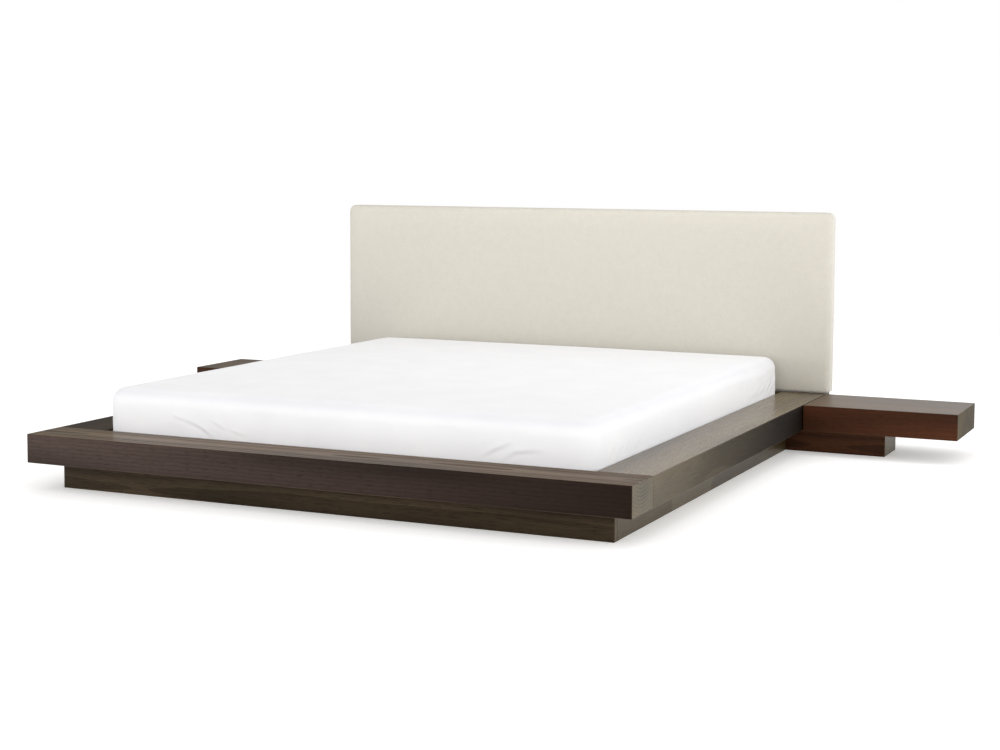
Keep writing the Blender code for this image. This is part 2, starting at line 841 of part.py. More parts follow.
# Foam frame: four wedge-shaped bolsters, the side ones full length and the end ones between them.
# Their outer corners are cut off so that they clear the round corners of the cover.
bolster_top = core_top
corner_cut = base_corner - cover_wall
foot_cut = cover_base_edge_radius
shoulder = mattress_edge_radius
well_slope = (bolster_base_width - bolster_top_width) / (bolster_top - bolster_bottom)
for side, sign in sides:
    outer = sign * foam_half_width
    base_inner_x = sign * (foam_half_width - bolster_base_width)
    top_inner_x = sign * (foam_half_width - bolster_top_width)
    mesh = bmesh.new()
    sections = []
    half_sections = (
        (foam_half_length, corner_cut, foot_cut, shoulder),
        (foam_half_length - foot_cut, corner_cut - foot_cut, 0, shoulder - foot_cut),
        (foam_half_length - shoulder, corner_cut - shoulder, 0, 0),
        (foam_half_length - corner_cut, 0, 0, 0),
    )
    foot_sections = [(-y, inset, lift, drop) for y, inset, lift, drop in half_sections]
    for y, inset, lift, drop in foot_sections + list(reversed(half_sections)):
        section = [
            (base_inner_x + sign * well_slope * lift, bolster_bottom + lift),
            (outer - sign * (inset + foot_cut), bolster_bottom + lift),
            (outer - sign * inset, bolster_bottom + foot_cut),
            (outer - sign * inset, bolster_top - shoulder),
            (outer - sign * (inset + shoulder - drop), bolster_top - drop),
            (top_inner_x - sign * well_slope * drop, bolster_top - drop),
        ]
        sections.append([mesh.verts.new((x, mattress_middle + y, z)) for x, z in section])
    mesh.faces.new(sections[0])
    mesh.faces.new(list(reversed(sections[-1])))
    for here, after in zip(sections, sections[1:]):
        for corner in range(len(here)):
            following = (corner + 1) % len(here)
            mesh.faces.new((here[corner], after[corner], after[following], here[following]))
    add_object(f"bolster_{side}", mesh, foam)

for end, sign in (("foot", -1), ("head", 1)):
    outer = mattress_middle + sign * foam_half_length
    base_x = foam_half_width - bolster_base_width - touch_gap
    top_x = foam_half_width - bolster_top_width - touch_gap
    shoulder_x = top_x - well_slope * shoulder
    section = (
        (outer - sign * bolster_base_width, bolster_bottom, base_x),
        (outer - sign * foot_cut, bolster_bottom, base_x),
        (outer, bolster_bottom + foot_cut, base_x + well_slope * foot_cut),
        (outer, bolster_top - shoulder, shoulder_x),
        (outer - sign * shoulder, bolster_top, top_x),
        (outer - sign * bolster_top_width, bolster_top, top_x),
    )
    mesh = bmesh.new()
    left = [mesh.verts.new((-x, y, z)) for y, z, x in section]
    right = [mesh.verts.new((x, y, z)) for y, z, x in section]
    mesh.faces.new(left)
    mesh.faces.new(list(reversed(right)))
    for corner in range(len(section)):
        following = (corner + 1) % len(section)
        mesh.faces.new((left[corner], right[corner], right[following], left[following]))
    add_object(f"bolster_{end}", mesh, foam)

# Liner: a thin vinyl tray inside the foam frame. It would hold the water of a leaking chamber.
def well_corner(z, inset):
    """Half width and half length of the well inside the bolsters, less an inset, at a height."""
    narrower = bolster_base_width - well_slope * (z - bolster_bottom) + inset
    return foam_half_width - narrower, foam_half_length - narrower


def well_rectangle(z, inset):
    half_x, half_y = well_corner(z, inset)
    return rectangle(-half_x, half_x, mattress_middle - half_y, mattress_middle + half_y, z)


liner_mesh = bmesh.new()
liner_loops = [
    well_rectangle(liner_bottom, touch_gap),
    well_rectangle(core_top, touch_gap),
    well_rectangle(core_top, touch_gap + liner_thickness),
    well_rectangle(liner_bottom + liner_thickness, touch_gap + liner_thickness),
]
liner_rings = [[liner_mesh.verts.new(point) for point in loop] for loop in liner_loops]
liner_mesh.faces.new(liner_rings[0])
liner_mesh.faces.new(liner_rings[-1])
for lower, upper in zip(liner_rings, liner_rings[1:]):
    join_rings(liner_mesh, lower, upper)
add_object("safety_liner", liner_mesh, (LINER_GREY, 0.5, 0.0))

# Thermal divider: an upright foam strip between the two water chambers.
core_inset = touch_gap + liner_thickness + touch_gap


def chamber(x_inner, sign):
    """A block of the liner's inside between the divider and one side."""
    loops = []
    for z in (core_bottom, core_top):
        half_x, half_y = well_corner(z, core_inset)
        x_low, x_high = span(sign * x_inner, sign * half_x)
        loops.append(rectangle(x_low, x_high, mattress_middle - half_y, mattress_middle + half_y, z))
    return hexahedron(*loops)


divider_loops = []
for z in (core_bottom, core_top):
    half_y = well_corner(z, core_inset)[1]
    y_low, y_high = mattress_middle - half_y, mattress_middle + half_y
    divider_loops.append(rectangle(-divider_thickness / 2, divider_thickness / 2, y_low, y_high, z))
add_object("thermal_divider", hexahedron(*divider_loops), foam)

# Water chambers, heaters under them, and the fill valves sunk into their tops.
chamber_half_width = (well_corner(core_bottom, core_inset)[0] + divider_thickness / 2) / 2
valve_y = mattress_foot + valve_from_foot
pocket_floor = core_top - valve_pocket_depth
flange_bottom = pocket_floor + touch_gap
flange_top = flange_bottom + valve_flange_thickness
neck_top = flange_top + valve_neck_height
for side, sign in sides:
    chamber_mesh = chamber(divider_thickness / 2 + touch_gap, sign)
    chamber_object = add_object(f"water_core_{side}", chamber_mesh, (VINYL_BLUE, 0.35, 0.0))
    middle = sign * chamber_half_width
    pocket_top = core_top + cut_overrun
    pocket = turned(
        [
            (0, pocket_floor),
            (valve_pocket_radius, pocket_floor),
            (valve_pocket_radius, pocket_top),
            (0, pocket_top),
        ],
        (middle, valve_y, 0),
        (0, 0, 1),
    )
    cut(chamber_object, cutter(f"valve_pocket_{side}", pocket))

    heater = block(
        middle - heater_width / 2,
        middle + heater_width / 2,
        mattress_middle - heater_length / 2,
        mattress_middle + heater_length / 2,
        heater_bottom,
        heater_bottom + heater_thickness,
    )
    add_object(f"heater_pad_{side}", heater, (HEATER_BLACK, 0.5, 0.0))

    valve = turned(
        [
            (0, flange_bottom),
            (valve_flange_radius, flange_bottom),
            (valve_flange_radius, flange_top),
            (valve_neck_radius, flange_top),
            (valve_neck_radius, neck_top),
            (valve_bore_radius, neck_top),
            (valve_bore_radius, flange_top),
            (0, flange_top),
        ],
        (middle, valve_y, 0),
        (0, 0, 1),
    )
    smooth(add_object(f"fill_valve_{side}", valve, (HOUSING_WHITE, 0.4, 0.0)))

    cap_bore = valve_neck_radius + touch_gap
    cap_radius = cap_bore + cap_wall
    cap_bottom = flange_top + touch_gap
    cap_ceiling = neck_top + touch_gap
    cap_top = cap_ceiling + cap_top_thickness
    cap = turned(
        [
            (0, cap_ceiling),
            (cap_bore, cap_ceiling),
            (cap_bore, cap_bottom),
            (cap_radius, cap_bottom),
            (cap_radius, cap_top),
            (0, cap_top),
        ],
        (middle, valve_y, 0),
        (0, 0, 1),
    )
    smooth(add_object(f"fill_cap_{side}", cap, (DIAL_GREY, 0.4, 0.0), (middle, valve_y, cap_ceiling)))

# Heater controls: a housing with a temperature dial and a rocker switch, one for each chamber.
control_front = plinth_head_face + touch_gap
control_face = control_front + control_depth
control_middle = plinth_height / 2
for side, sign in sides:
    middle = sign * control_spacing / 2
    housing = block(
        middle - control_width / 2,
        middle + control_width / 2,
        control_front,
        control_face,
        control_middle - control_height / 2,
        control_middle + control_height / 2,
    )
    hollow_from(housing, Vector((0, -1, 0)), control_wall, control_depth - control_wall)
    housing_object = add_object(f"control_housing_{side}", housing, (HOUSING_WHITE, 0.4, 0.0))

    dial_x = middle - dial_offset
    spindle_hole_radius = spindle_radius + spindle_clearance
    hole_start = control_face - control_wall - cut_overrun
    hole_end = control_face + cut_overrun
    spindle_hole = turned(
        [(0, hole_start), (spindle_hole_radius, hole_start), (spindle_hole_radius, hole_end), (0, hole_end)],
        (dial_x, 0, control_middle),
        (0, 1, 0),
        hole_steps,
    )
    cut(housing_object, cutter(f"spindle_hole_{side}", spindle_hole))

    dial_seat = control_face + touch_gap
    dial_face = dial_seat + dial_height
    dial = turned(
        [
            (0, dial_seat - spindle_length),
            (spindle_radius, dial_seat - spindle_length),
            (spindle_radius, dial_seat),
            (dial_radius, dial_seat),
            (dial_radius - dial_taper, dial_face),
            (0, dial_face),
        ],
        (dial_x, 0, control_middle),
        (0, 1, 0),
    )
    dial_object = add_object(
        f"temperature_dial_{side}", dial, (DIAL_GREY, 0.4, 0.0), (dial_x, dial_seat, control_middle)
    )
    pointer = block(
        dial_x - dial_pointer_width / 2,
        dial_x + dial_pointer_width / 2,
        dial_face - dial_pointer_depth,
        dial_face + cut_overrun,
        control_middle + dial_radius - dial_pointer_length,
        control_middle + dial_radius + cut_overrun,
    )
    turn_about(pointer, (dial_x, dial_face, control_middle), dial_start_degrees, "Y")
    smooth(cut(dial_object, cutter(f"dial_pointer_{side}", pointer)))

    rocker_x = middle + rocker_offset
    rocker_half_width = rocker_width / 2
    rocker_half_height = rocker_height / 2
    rocker_slot = block(
        rocker_x - rocker_half_width - touch_gap,
        rocker_x + rocker_half_width + touch_gap,
        hole_start,
        hole_end,
        control_middle - rocker_half_height - rocker_clearance,
        control_middle + rocker_half_height + rocker_clearance,
    )
    cut(housing_object, cutter(f"rocker_slot_{side}", rocker_slot))
    rocker_face = control_face + rocker_proud
    rocker_pivot = control_face - rocker_pivot_depth
    rocker = block(
        rocker_x - rocker_half_width,
        rocker_x + rocker_half_width,
        rocker_face - rocker_depth,
        rocker_face,
        control_middle - rocker_half_height,
        control_middle + rocker_half_height,
    )
    rocker_origin = (rocker_x, rocker_pivot, control_middle)
    turn_about(rocker, rocker_origin, -rocker_rest_degrees, "X")
    add_object(f"rocker_switch_{side}", rocker, (DIAL_GREY, 0.4, 0.0), rocker_origin)

    lead_start = middle + sign * (control_width / 2 - control_wall - cut_overrun)
    lead_end = middle + sign * (control_width / 2 + cut_overrun)
    lead_low, lead_high = span(lead_start, lead_end)
    lead_hole = turned(
        [(0, lead_low), (lead_hole_radius, lead_low), (lead_hole_radius, lead_high), (0, lead_high)],
        (0, (control_front + control_face) / 2, control_middle),
        (1, 0, 0),
        hole_steps,
    )
    cut(housing_object, cutter(f"lead_hole_{side}", lead_hole))
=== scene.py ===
import math

import bmesh
import bpy
from mathutils import Matrix, Vector, noise


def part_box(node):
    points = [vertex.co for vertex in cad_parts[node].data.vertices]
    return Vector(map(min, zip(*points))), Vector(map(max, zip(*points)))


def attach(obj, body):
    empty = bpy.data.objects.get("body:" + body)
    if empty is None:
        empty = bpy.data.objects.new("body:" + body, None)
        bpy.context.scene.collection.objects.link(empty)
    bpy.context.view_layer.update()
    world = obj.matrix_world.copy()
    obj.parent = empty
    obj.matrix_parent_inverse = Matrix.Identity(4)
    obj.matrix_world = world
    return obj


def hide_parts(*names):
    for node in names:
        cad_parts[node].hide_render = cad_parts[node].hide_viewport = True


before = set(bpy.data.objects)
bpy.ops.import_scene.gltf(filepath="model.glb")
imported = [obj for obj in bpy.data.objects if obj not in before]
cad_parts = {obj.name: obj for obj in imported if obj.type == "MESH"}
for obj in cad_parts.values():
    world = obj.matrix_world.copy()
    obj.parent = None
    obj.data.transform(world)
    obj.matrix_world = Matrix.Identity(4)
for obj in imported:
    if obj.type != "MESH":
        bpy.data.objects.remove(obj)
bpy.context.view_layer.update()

# Studio. The bed stands on a plain pale floor in a white room, whose wall behind and to the left is
# dimmer. A softbox stands in front and at each side, and a narrow one hangs over the pillows' place.
camera_place = (2.8187, -5.84595, 1.1209)
camera_turn = math.radians(24.627)
camera_tilt = math.radians(-4.569)
camera_roll = math.radians(0.256)
camera_sensor = 36
camera_lens = 63.57
camera_rise = -0.075


def put(name, data):
    """Puts a new object in the scene."""
    thing = bpy.data.objects.new(name, data)
    bpy.context.scene.collection.objects.link(thing)
    return thing


camera = bpy.data.cameras.new("camera")
camera.sensor_width = camera_sensor
camera.lens = camera_lens
camera.shift_y = camera_rise
camera.clip_end = 100
camera_object = put("camera", camera)
camera_object.matrix_world = (
    Matrix.Translation(camera_place)
    @ Matrix.Rotation(camera_turn, 4, "Z")
    @ Matrix.Rotation(math.pi / 2 + camera_tilt, 4, "X")
    @ Matrix.Rotation(camera_roll, 4, "Z")
)
bpy.context.scene.camera = camera_object
bpy.context.scene.view_settings.view_transform = "Standard"


def linear(colour):
    """An sRGB hex colour as the linear values that a shader takes."""
    channels = [int(colour[place : place + 2], 16) / 255 for place in (1, 3, 5)]
    turned = [c / 12.92 if c <= 0.04045 else ((c + 0.055) / 1.055) ** 2.4 for c in channels]
    return (*turned, 1.0)


class Nodes:
    """A node tree in the making. Most methods add a node and give one of its outputs, new gives them all.
    A setting is a property, the value of an input, or a socket to join to it, with _ for a space in its
    name."""

    def __init__(self, tree, prefix="ShaderNode"):
        self.tree = tree
        self.prefix = prefix

    def settle(self, node, settings):
        """Gives a node its settings. Returns its outputs."""
        for name, value in settings.items():
            if isinstance(name, str) and hasattr(node, name):
                setattr(node, name, value)
                continue
            socket = node.inputs[name.replace("_", " ") if isinstance(name, str) else name]
            if isinstance(value, bpy.types.NodeSocket):
                self.tree.links.new(value, socket)
            else:
                socket.default_value = value
        return node.outputs

    def new(self, kind, settings):
        return self.settle(self.tree.nodes.new(self.prefix + kind), settings)

    def add(self, kind, *values, output=0, **settings):
        """The values are those of the first inputs."""
        return self.new(kind, {**settings, **dict(enumerate(values))})[output]

    def calculate(self, operation, *values):
        return self.add("Math", *values, operation=operation)

    def spread(self, value, start, end, low=0.0, high=1.0, **settings):
        """Carries a value between low and high to one between start and end."""
        return self.add("MapRange", value, low, high, start, end, **settings)

    def split(self, vector):
        """The parts of a vector."""
        return self.new("SeparateXYZ", {"Vector": vector})

    def dot(self, first, second):
        return self.add("VectorMath", first, second, output="Value", operation="DOT_PRODUCT")

    def blend(self, factor, first, second, kind="MIX"):
        """Mixes two colours, each given as hex or as a socket."""
        first, second = (linear(tone) if isinstance(tone, str) else tone for tone in (first, second))
        mix = {"data_type": "RGBA", "blend_type": kind, 0: factor, 6: first, 7: second}
        return self.new("Mix", mix)[2]

    def ramp(self, factor, *stops):
        """A colour ramp whose stops are (place, colour)."""
        node = self.tree.nodes.new("ShaderNodeValToRGB")
        for element, (place, colour) in zip(node.color_ramp.elements, stops):
            element.position = place
            element.color = linear(colour)
        return self.settle(node, {"Fac": factor})["Color"]


class Finish(Nodes):
    """A material in the making. place is the place of each point in metres."""

    def __init__(self, name):
        self.material = bpy.data.materials.new(name)
        self.material.use_nodes = True
        super().__init__(self.material.node_tree)
        self.place = self.add("TexCoord", output="Object")

    def facing(self):
        """The way that each face looks."""
        return self.add("NewGeometry", output="Normal")

    def noise(self, width, detail, vector=None):
        """Clouds about a width across."""
        return self.add("TexNoise", output="Fac", Vector=vector or self.place, Scale=1 / width, Detail=detail)

    def crossed_waves(self, vector, axes, pitch):
        """Sine waves along two axes, multiplied, which make a field of small dimples."""
        parts = self.split(vector)
        turns = [self.calculate("MULTIPLY", parts[axis], math.tau / pitch) for axis in axes]
        return self.calculate("MULTIPLY", *(self.calculate("SINE", turn) for turn in turns))

    def done(self, relief=None, strength=0.0, depth=0.0, **values):
        """Settles the shader and gives the material. relief stands up from the surface by its depth."""
        if relief is not None:
            bump = {"Height": relief, "Strength": strength, "Distance": depth}
            values["Normal"] = self.add("Bump", output="Normal", **bump)
        self.settle(self.tree.nodes["Principled BSDF"], values)
        return self.material


world = bpy.data.worlds.new("studio")
bpy.context.scene.world = world
world.use_nodes = True
room = Nodes(world.node_tree)
room.tree.nodes.clear()
look = room.split(room.add("TexCoord", output="Generated"))
# The angle from straight behind the headboard round to the right. Each wall's fade runs from the angle
# where it is dim to the one where it is bright, in degrees.
bearing = room.calculate("ARCTAN2", look["X"], look["Y"])
wall_fades = ((-38, 2), (-80, -110))
walls = []
for dim, bright in wall_fades:
    fade = (math.radians(dim), math.radians(bright))
    walls.append(room.spread(bearing, 0.0, 1.0, *fade, interpolation_type="SMOOTHSTEP"))
overhead = room.spread(look["Z"], 0.0, 1.0, 0.3, 0.8)
brightness = room.calculate("MAXIMUM", room.calculate("MAXIMUM", *walls), overhead)
wall_tone = room.blend(brightness, "#87857f", "#ffffff")
light_from_sides = 1.75
light_from_above = 0.68
evenness = room.spread(look["Z"], light_from_sides, light_from_above)
lit = room.add("Background", Color=wall_tone, Strength=evenness)
backdrop = room.add("Background", Color=linear("#ffffff"), Strength=1.0)
seen = room.add("MixShader", room.add("LightPath", output="Is Camera Ray"), lit, backdrop)
room.new("OutputWorld", {"Surface": seen})


def softbox(name, place, aim, width, height, power):
    """A soft rectangular lamp of so many metres and watts, turned to face a place."""
    light = bpy.data.lights.new(name, "AREA")
    light.shape = "RECTANGLE"
    light.size = width
    light.size_y = height
    light.energy = power
    lamp = put(name, light)
    lamp.location = place
    lamp.rotation_euler = (Vector(aim) - Vector(place)).to_track_quat("-Z", "Y").to_euler()


softbox("softbox_front", (1.0, -8.0, 2.2), (0.0, 0.0, 0.3), 5.0, 2.0, 45)
softbox("softbox_right", (8.0, -1.0, 2.2), (0.9, 0.0, 0.3), 4.0, 2.5, 100)
softbox("softbox_left", (-6.4, -6.6, 1.0), (-0.9, -1.0, 0.2), 2.2, 1.4, 80)
softbox("softbox_over_pillows", (0.6, 0.6, 2.4), (0.6, 0.97, 0.3), 2.6, 0.4, 9)

# The floor is translucent and lit a little from below, so that the bed's shadow on it stays faint.
floor_half_side = 12
floor_drop = 0.0006
floor_fade_from = 3.2
floor_fade_to = 6.5
floor_glow = 0.28
floor_mesh = bpy.data.meshes.new("floor")
floor_corners = [(-1, -1), (1, -1), (1, 1), (-1, 1)]
floor_points = [(x * floor_half_side, y * floor_half_side, -floor_drop) for x, y in floor_corners]
floor_mesh.from_pydata(floor_points, [], [(0, 1, 2, 3)])
floor = put("floor", floor_mesh)
floor_paint = Finish("matt_floor_paint")
# Far from the bed the floor thins out into the white of the room, so that no horizon shows.
reach = floor_paint.add("VectorMath", floor_paint.place, output="Value", operation="LENGTH")
fade = (floor_fade_from, floor_fade_to)
matt_white = {
    "Base_Color": linear("#f9f9f8"),
    "Roughness": 0.9,
    "Specular_IOR_Level": 0.1,
    "Emission_Color": linear("#ffffff"),
    "Emission_Strength": floor_glow,
    "Alpha": floor_paint.spread(reach, 1.0, 0.0, *fade, interpolation_type="SMOOTHSTEP"),
}
floor_mesh.materials.append(floor_paint.done(**matt_white))

# Plinth. Four boards on edge, set back under the rails so that the bed seems to float. They are
# veneered with oak, stained a dark walnut brown and sprayed with a satin lacquer.
growth_ring = 0.011
ring_stretch = 0.3
ring_wander = 7.0
ring_wander_rate = 4.0
# The fibres and pores of real oak are about a tenth as wide, too fine to show from where the bed is seen.
fibre_width = 0.0026
fibre_length = 0.09
pore_width = 0.0013
pore_length = 0.035
drift_width = 0.12
drift_length = 0.9
veneer_relief = 0.0004


def stained_oak(name, grain, heart, figure, lacquer, looks, painted_fade=None, streaks=0.12):
    """Oak veneer under stain and satin lacquer: long fibres and open pores along the grain, and the
    arches of the growth rings where the cut comes near the heart of the log.

    heart is how far to the side and how high the heart of the log lies, figure how strongly its rings
    show, and lacquer the index of its finish. looks gives, for the faces that look along each axis, the
    dark and the light tone and how dull the lacquer is; the tones are partly the stain and partly painted
    light, with painted reflection on most tops and painted shade on fronts and ends. A painted fade of
    (from, to, tone, dulling for each axis) paints the faces across the grain darker towards one end, where
    its lacquer is duller or, below zero, brighter: painted shade towards the head end of the side rails,
    and on the foot rail's front a painted highlight that leaves its left end lighter. streaks is how much
    duller the lacquer is over the open pores of the early wood."""
    oak = Finish(name)
    turn = (0, 0, math.pi / 2) if grain == "Y" else (0, 0, 0)
    along = oak.add("Mapping", Vector=oak.place, Rotation=turn, Location=(0, *heart))
    facing = oak.facing()
    squares = oak.add("VectorMath", facing, facing, operation="MULTIPLY")
    shares = oak.split(squares)

    def stretched(length, width, detail):
        space = oak.add("Mapping", Vector=along, Scale=(1 / length, 1 / width, 1 / width))
        return oak.noise(1, detail, space)

    # Picks each face's tones by the way it looks. The tones carry painted light: lighter tops, and darker
    # fronts, ends and sides.
    def by_face(which):
        across = oak.blend(shares["X"], looks["Y"][which], looks["X"][which])
        return oak.blend(shares["Z"], across, looks["Z"][which])

    fibres = stretched(fibre_length, fibre_width, 2.0)
    pores = stretched(pore_length, pore_width, 1.0)
    drift = stretched(drift_length, drift_width, 1.0)
    ring_scale = math.tau / 20 / growth_ring
    ring_space = oak.add("Mapping", Vector=along, Scale=(ring_stretch, 1, 1))
    ring_settings = {
        "wave_type": "RINGS",
        "rings_direction": "X",
        "wave_profile": "SAW",
        "Scale": ring_scale,
        "Distortion": ring_wander,
        "Detail": 1.5,
        "Detail_Scale": ring_wander_rate / ring_scale,
    }
    rings = oak.add("TexWave", output="Fac", Vector=ring_space, **ring_settings)
    fibre_light = oak.spread(fibres, 0.0, 1.0, 0.22, 0.8)
    ring_light = oak.spread(rings, figure, 0.0, 0.1, 0.85)
    lightness = oak.calculate("MULTIPLY_ADD", fibre_light, 1 - figure, ring_light)
    tone = oak.blend(lightness, by_face(0), by_face(1))
    tone = oak.blend(1.0, tone, oak.ramp(drift, (0.3, "#b4b4b4"), (0.7, "#ffffff")), "MULTIPLY")
    tone = oak.blend(0.8, tone, oak.ramp(pores, (0.30, "#7a7a7a"), (0.42, "#ffffff")), "MULTIPLY")
    dullness = oak.dot(squares, (looks["X"][2], looks["Y"][2], looks["Z"][2]))
    gloss = oak.calculate("MULTIPLY_ADD", lightness, -streaks, dullness)
    if painted_fade:
        start, end, darker, dulling = painted_fade
        fade_share = oak.spread(oak.split(oak.place)[grain], 0.0, 1.0, start, end)
        # Only faces across the grain take the painted fade: the foot rail's front and back, the side rails'
        # sides.
        strength = oak.calculate("MULTIPLY", fade_share, shares["Y" if grain == "X" else "X"])
        tone = oak.blend(strength, tone, darker, "MULTIPLY")
        gloss = oak.calculate("MULTIPLY_ADD", fade_share, oak.dot(squares, dulling), gloss)
    relief = oak.calculate("MULTIPLY_ADD", fibres, 0.4, pores)
    finish = {"Base_Color": tone, "Roughness": gloss, "IOR": lacquer, "Specular_Tint": linear("#b09a88")}
    return oak.done(relief, 0.25, veneer_relief, **finish)


def paint(material, *nodes):
    """Gives pieces of the frame their finish."""
    for node in nodes:
        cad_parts[node].material_slots[0].material = material


sides = ("left", "right")
# The tones for each way a face looks are partly the stain and partly painted light: the top is lightest, the
# front darkest.
plinth_looks = {
    "X": ("#3d331f", "#574a2e", 0.42),
    "Y": ("#272015", "#453a2c", 0.40),
    "Z": ("#4b4234", "#695e4a", 0.42),
}
plinth_across = stained_oak("stained_oak_plinth_across", "X", (1.15, -0.02), 0.5, 1.30, plinth_looks)
plinth_along = stained_oak("stained_oak_plinth_along", "Y", (1.0, -0.02), 0.5, 1.40, plinth_looks)
paint(plinth_across, "plinth_board_foot", "plinth_board_head")
paint(plinth_along, "plinth_board_left", "plinth_board_right")

# Pedestal and deck. A spine and four cross beams, halved into each other, carry three loose panels.
# All are birch plywood, left raw because the mattress and the plinth hide them.
ply_thickness = 0.0015
birch_fibre_width = 0.014
birch_fibre_length = 0.25
sanded_relief = 0.0003


def raw_plywood(name, grain, thickness):
    """Sanded birch plywood: a pale face with a faint grain, and the plies as lines on the cut edges."""
    birch = Finish(name)
    stretch = [1 / birch_fibre_width] * 3
    stretch["XYZ".index(grain)] = 1 / birch_fibre_length
    fibres = birch.noise(1, 3.0, birch.add("Mapping", Vector=birch.place, Scale=stretch))
    face = birch.ramp(fibres, (0.3, "#c9a877"), (0.7, "#e2c89c"))
    depth = birch.split(birch.place)[thickness]
    wave = birch.calculate("PINGPONG", depth, ply_thickness)
    stripe = birch.calculate("GREATER_THAN", wave, ply_thickness / 2)
    edge = birch.blend(stripe, "#b08d5c", "#dcc08f")
    flat = birch.calculate("ABSOLUTE", birch.split(birch.facing())[thickness])
    return birch.done(fibres, 0.2, sanded_relief, Base_Color=birch.blend(flat, edge, face), Roughness=0.65)


deck_plywood = raw_plywood("raw_birch_plywood_deck", "X", "Z")
beam_plywood = raw_plywood("raw_birch_plywood_beam", "X", "Y")
spine_plywood = raw_plywood("raw_birch_plywood_spine", "Y", "X")
paint(spine_plywood, "centre_spine")
paint(beam_plywood, *(f"cross_beam_{number}" for number in range(1, 5)))
paint(deck_plywood, *(f"deck_panel_{number}" for number in range(1, 4)))

# Rails. The foot rail runs across the whole width and the side rails butt against it. Each is a long
# hollow box, mitred and glued from veneered board, with its grain along its length.
# Painted light in the tones by face: the top is painted light, as painted reflection, and the front dark.
foot_rail_looks = {
    "X": ("#50452c", "#5b4f34", 0.46),
    "Y": ("#413430", "#4f433f", 0.50),
    "Z": ("#443322", "#796043", 0.52),
}
# Painted highlight: the foot rail's front is painted darker towards its right end, so its left end looks lit.
foot_rail_painted_fade = (-1.085, 1.085, "#7c6f6a", (0.0, 0.22, 0.12))
foot_rail_wood = stained_oak(
    "stained_oak_foot_rail", "X", (1.06, -0.31), 0.50, 1.30, foot_rail_looks, foot_rail_painted_fade, 0.28
)
# Painted light in the tones by face: the top is painted lightest, as painted reflection, and the outer side
# darkest.
side_rail_looks = {
    "X": ("#453920", "#5f5130", 0.48),
    "Y": ("#554a35", "#72664a", 0.50),
    "Z": ("#625237", "#726040", 0.32),
}
# Painted shade: the sides of the side rails are painted darker towards the head end, beside the dark tables.
side_rail_painted_fade = (-1.0, 0.35, "#33261b", (0.35, 0.0, 0.0))
side_rail_wood = stained_oak(
    "stained_oak_side_rail", "Y", (1.4, -0.3), 0.35, 1.40, side_rail_looks, side_rail_painted_fade
)
# The left rail stands in the dim side of the room, so its top is painted darker, as painted shade.
left_rail_painted_shade_looks = {**side_rail_looks, "Z": ("#2a1f14", "#3a2c1c", 0.72)}
left_rail_painted_shade_wood = stained_oak(
    "stained_oak_left_rail_painted_shade", "Y", (-1.4, -0.3), 0.35, 1.40, left_rail_painted_shade_looks, side_rail_painted_fade
)
head_rail_wood = stained_oak("stained_oak_head_rail", "X", (-1.0, -0.3), 0.35, 1.40, side_rail_looks)
paint(foot_rail_wood, "foot_rail", "foot_rail_liner")
paint(head_rail_wood, "head_rail")
paint(left_rail_painted_shade_wood, "side_rail_left", "side_rail_liner_left")
paint(side_rail_wood, "side_rail_right", "side_rail_liner_right")

# Bedside tables. Each is a veneered box as high as the rails, on a small hollow plinth of its own. A
# steel plate, let into the top of that plinth, ties it to the side rail.
# Painted light in the tones by face: the top is lightest, and the ends are painted darker, as painted shade.
table_looks = {
    "X": ("#34290c", "#4b3d17", 0.70),
    "Y": ("#3d2012", "#4a2817", 0.50),
    "Z": ("#4f3b23", "#5f4930", 0.46),
}
table_wood = stained_oak("stained_oak_table", "X", (-0.5, -0.3), 0.35, 1.36, table_looks)
table_plinth_looks = {
    "X": ("#1f1a12", "#8a7d66", 0.52),
    "Y": ("#2e1b11", "#472a1a", 0.42),
    "Z": ("#2e1c12", "#4e301f", 0.42),
}
table_plinth_wood = stained_oak(
    "stained_oak_table_plinth", "X", (-0.86, -0.03), 0.7, 1.30, table_plinth_looks
)

zinc_cloud = 0.0055


def zinc_plated_steel(name):
    """Bright zinc over pressed steel, slightly cloudy where the plating took unevenly."""
    plating = Finish(name)
    cloud = plating.noise(zinc_cloud, 3.0)
    colour = plating.ramp(cloud, (0.3, "#a9abad"), (0.7, "#cfd0d1"))
    gloss = plating.spread(cloud, 0.28, 0.45)
    return plating.done(Base_Color=colour, Roughness=gloss, Metallic=1.0)


zinc = zinc_plated_steel("zinc_plated_steel")
for side in sides:
    paint(table_wood, f"table_box_{side}")
    paint(table_plinth_wood, f"table_plinth_{side}")
    paint(zinc, f"table_bracket_{side}")

# Headboard. A plywood core carries a slab of foam, and cream leatherette is pulled over both and stapled
# behind. The front is plain, without a seam, and swells a little where the cover runs over the edges.
headboard_edge = 0.024
headboard_corner = 0.032
headboard_pitch = 0.013
headboard_slack = 0.003
headboard_crown = 0.0005
headboard_roll_width = 0.065
headboard_roll_depth = 0.006
headboard_swell = 0.006
headboard_bottom_squareness = 0.8
headboard_side_draw = 0.0015
headboard_fold = 0.002
upholstery_pressure = 0.08
leatherette_thickness = 0.0012
leatherette_return = 0.045
# The pebbles of the grain are drawn half as large again as real ones, so that they show.
leatherette_grain = 0.0016
leatherette_creases = 0.030
leatherette_relief = 0.0003
edge_turns = 6
side_steps = 5
least_corner = 0.006
cloth_frames = 20
cloth_stiffness = 20
cloth_settings = {
    "quality": 4,
    "mass": 0.4,
    "tension_stiffness": cloth_stiffness,
    "compression_stiffness": cloth_stiffness,
    "bending_stiffness": 2,
    "vertex_group_mass": "held",
    "use_pressure": True,
}


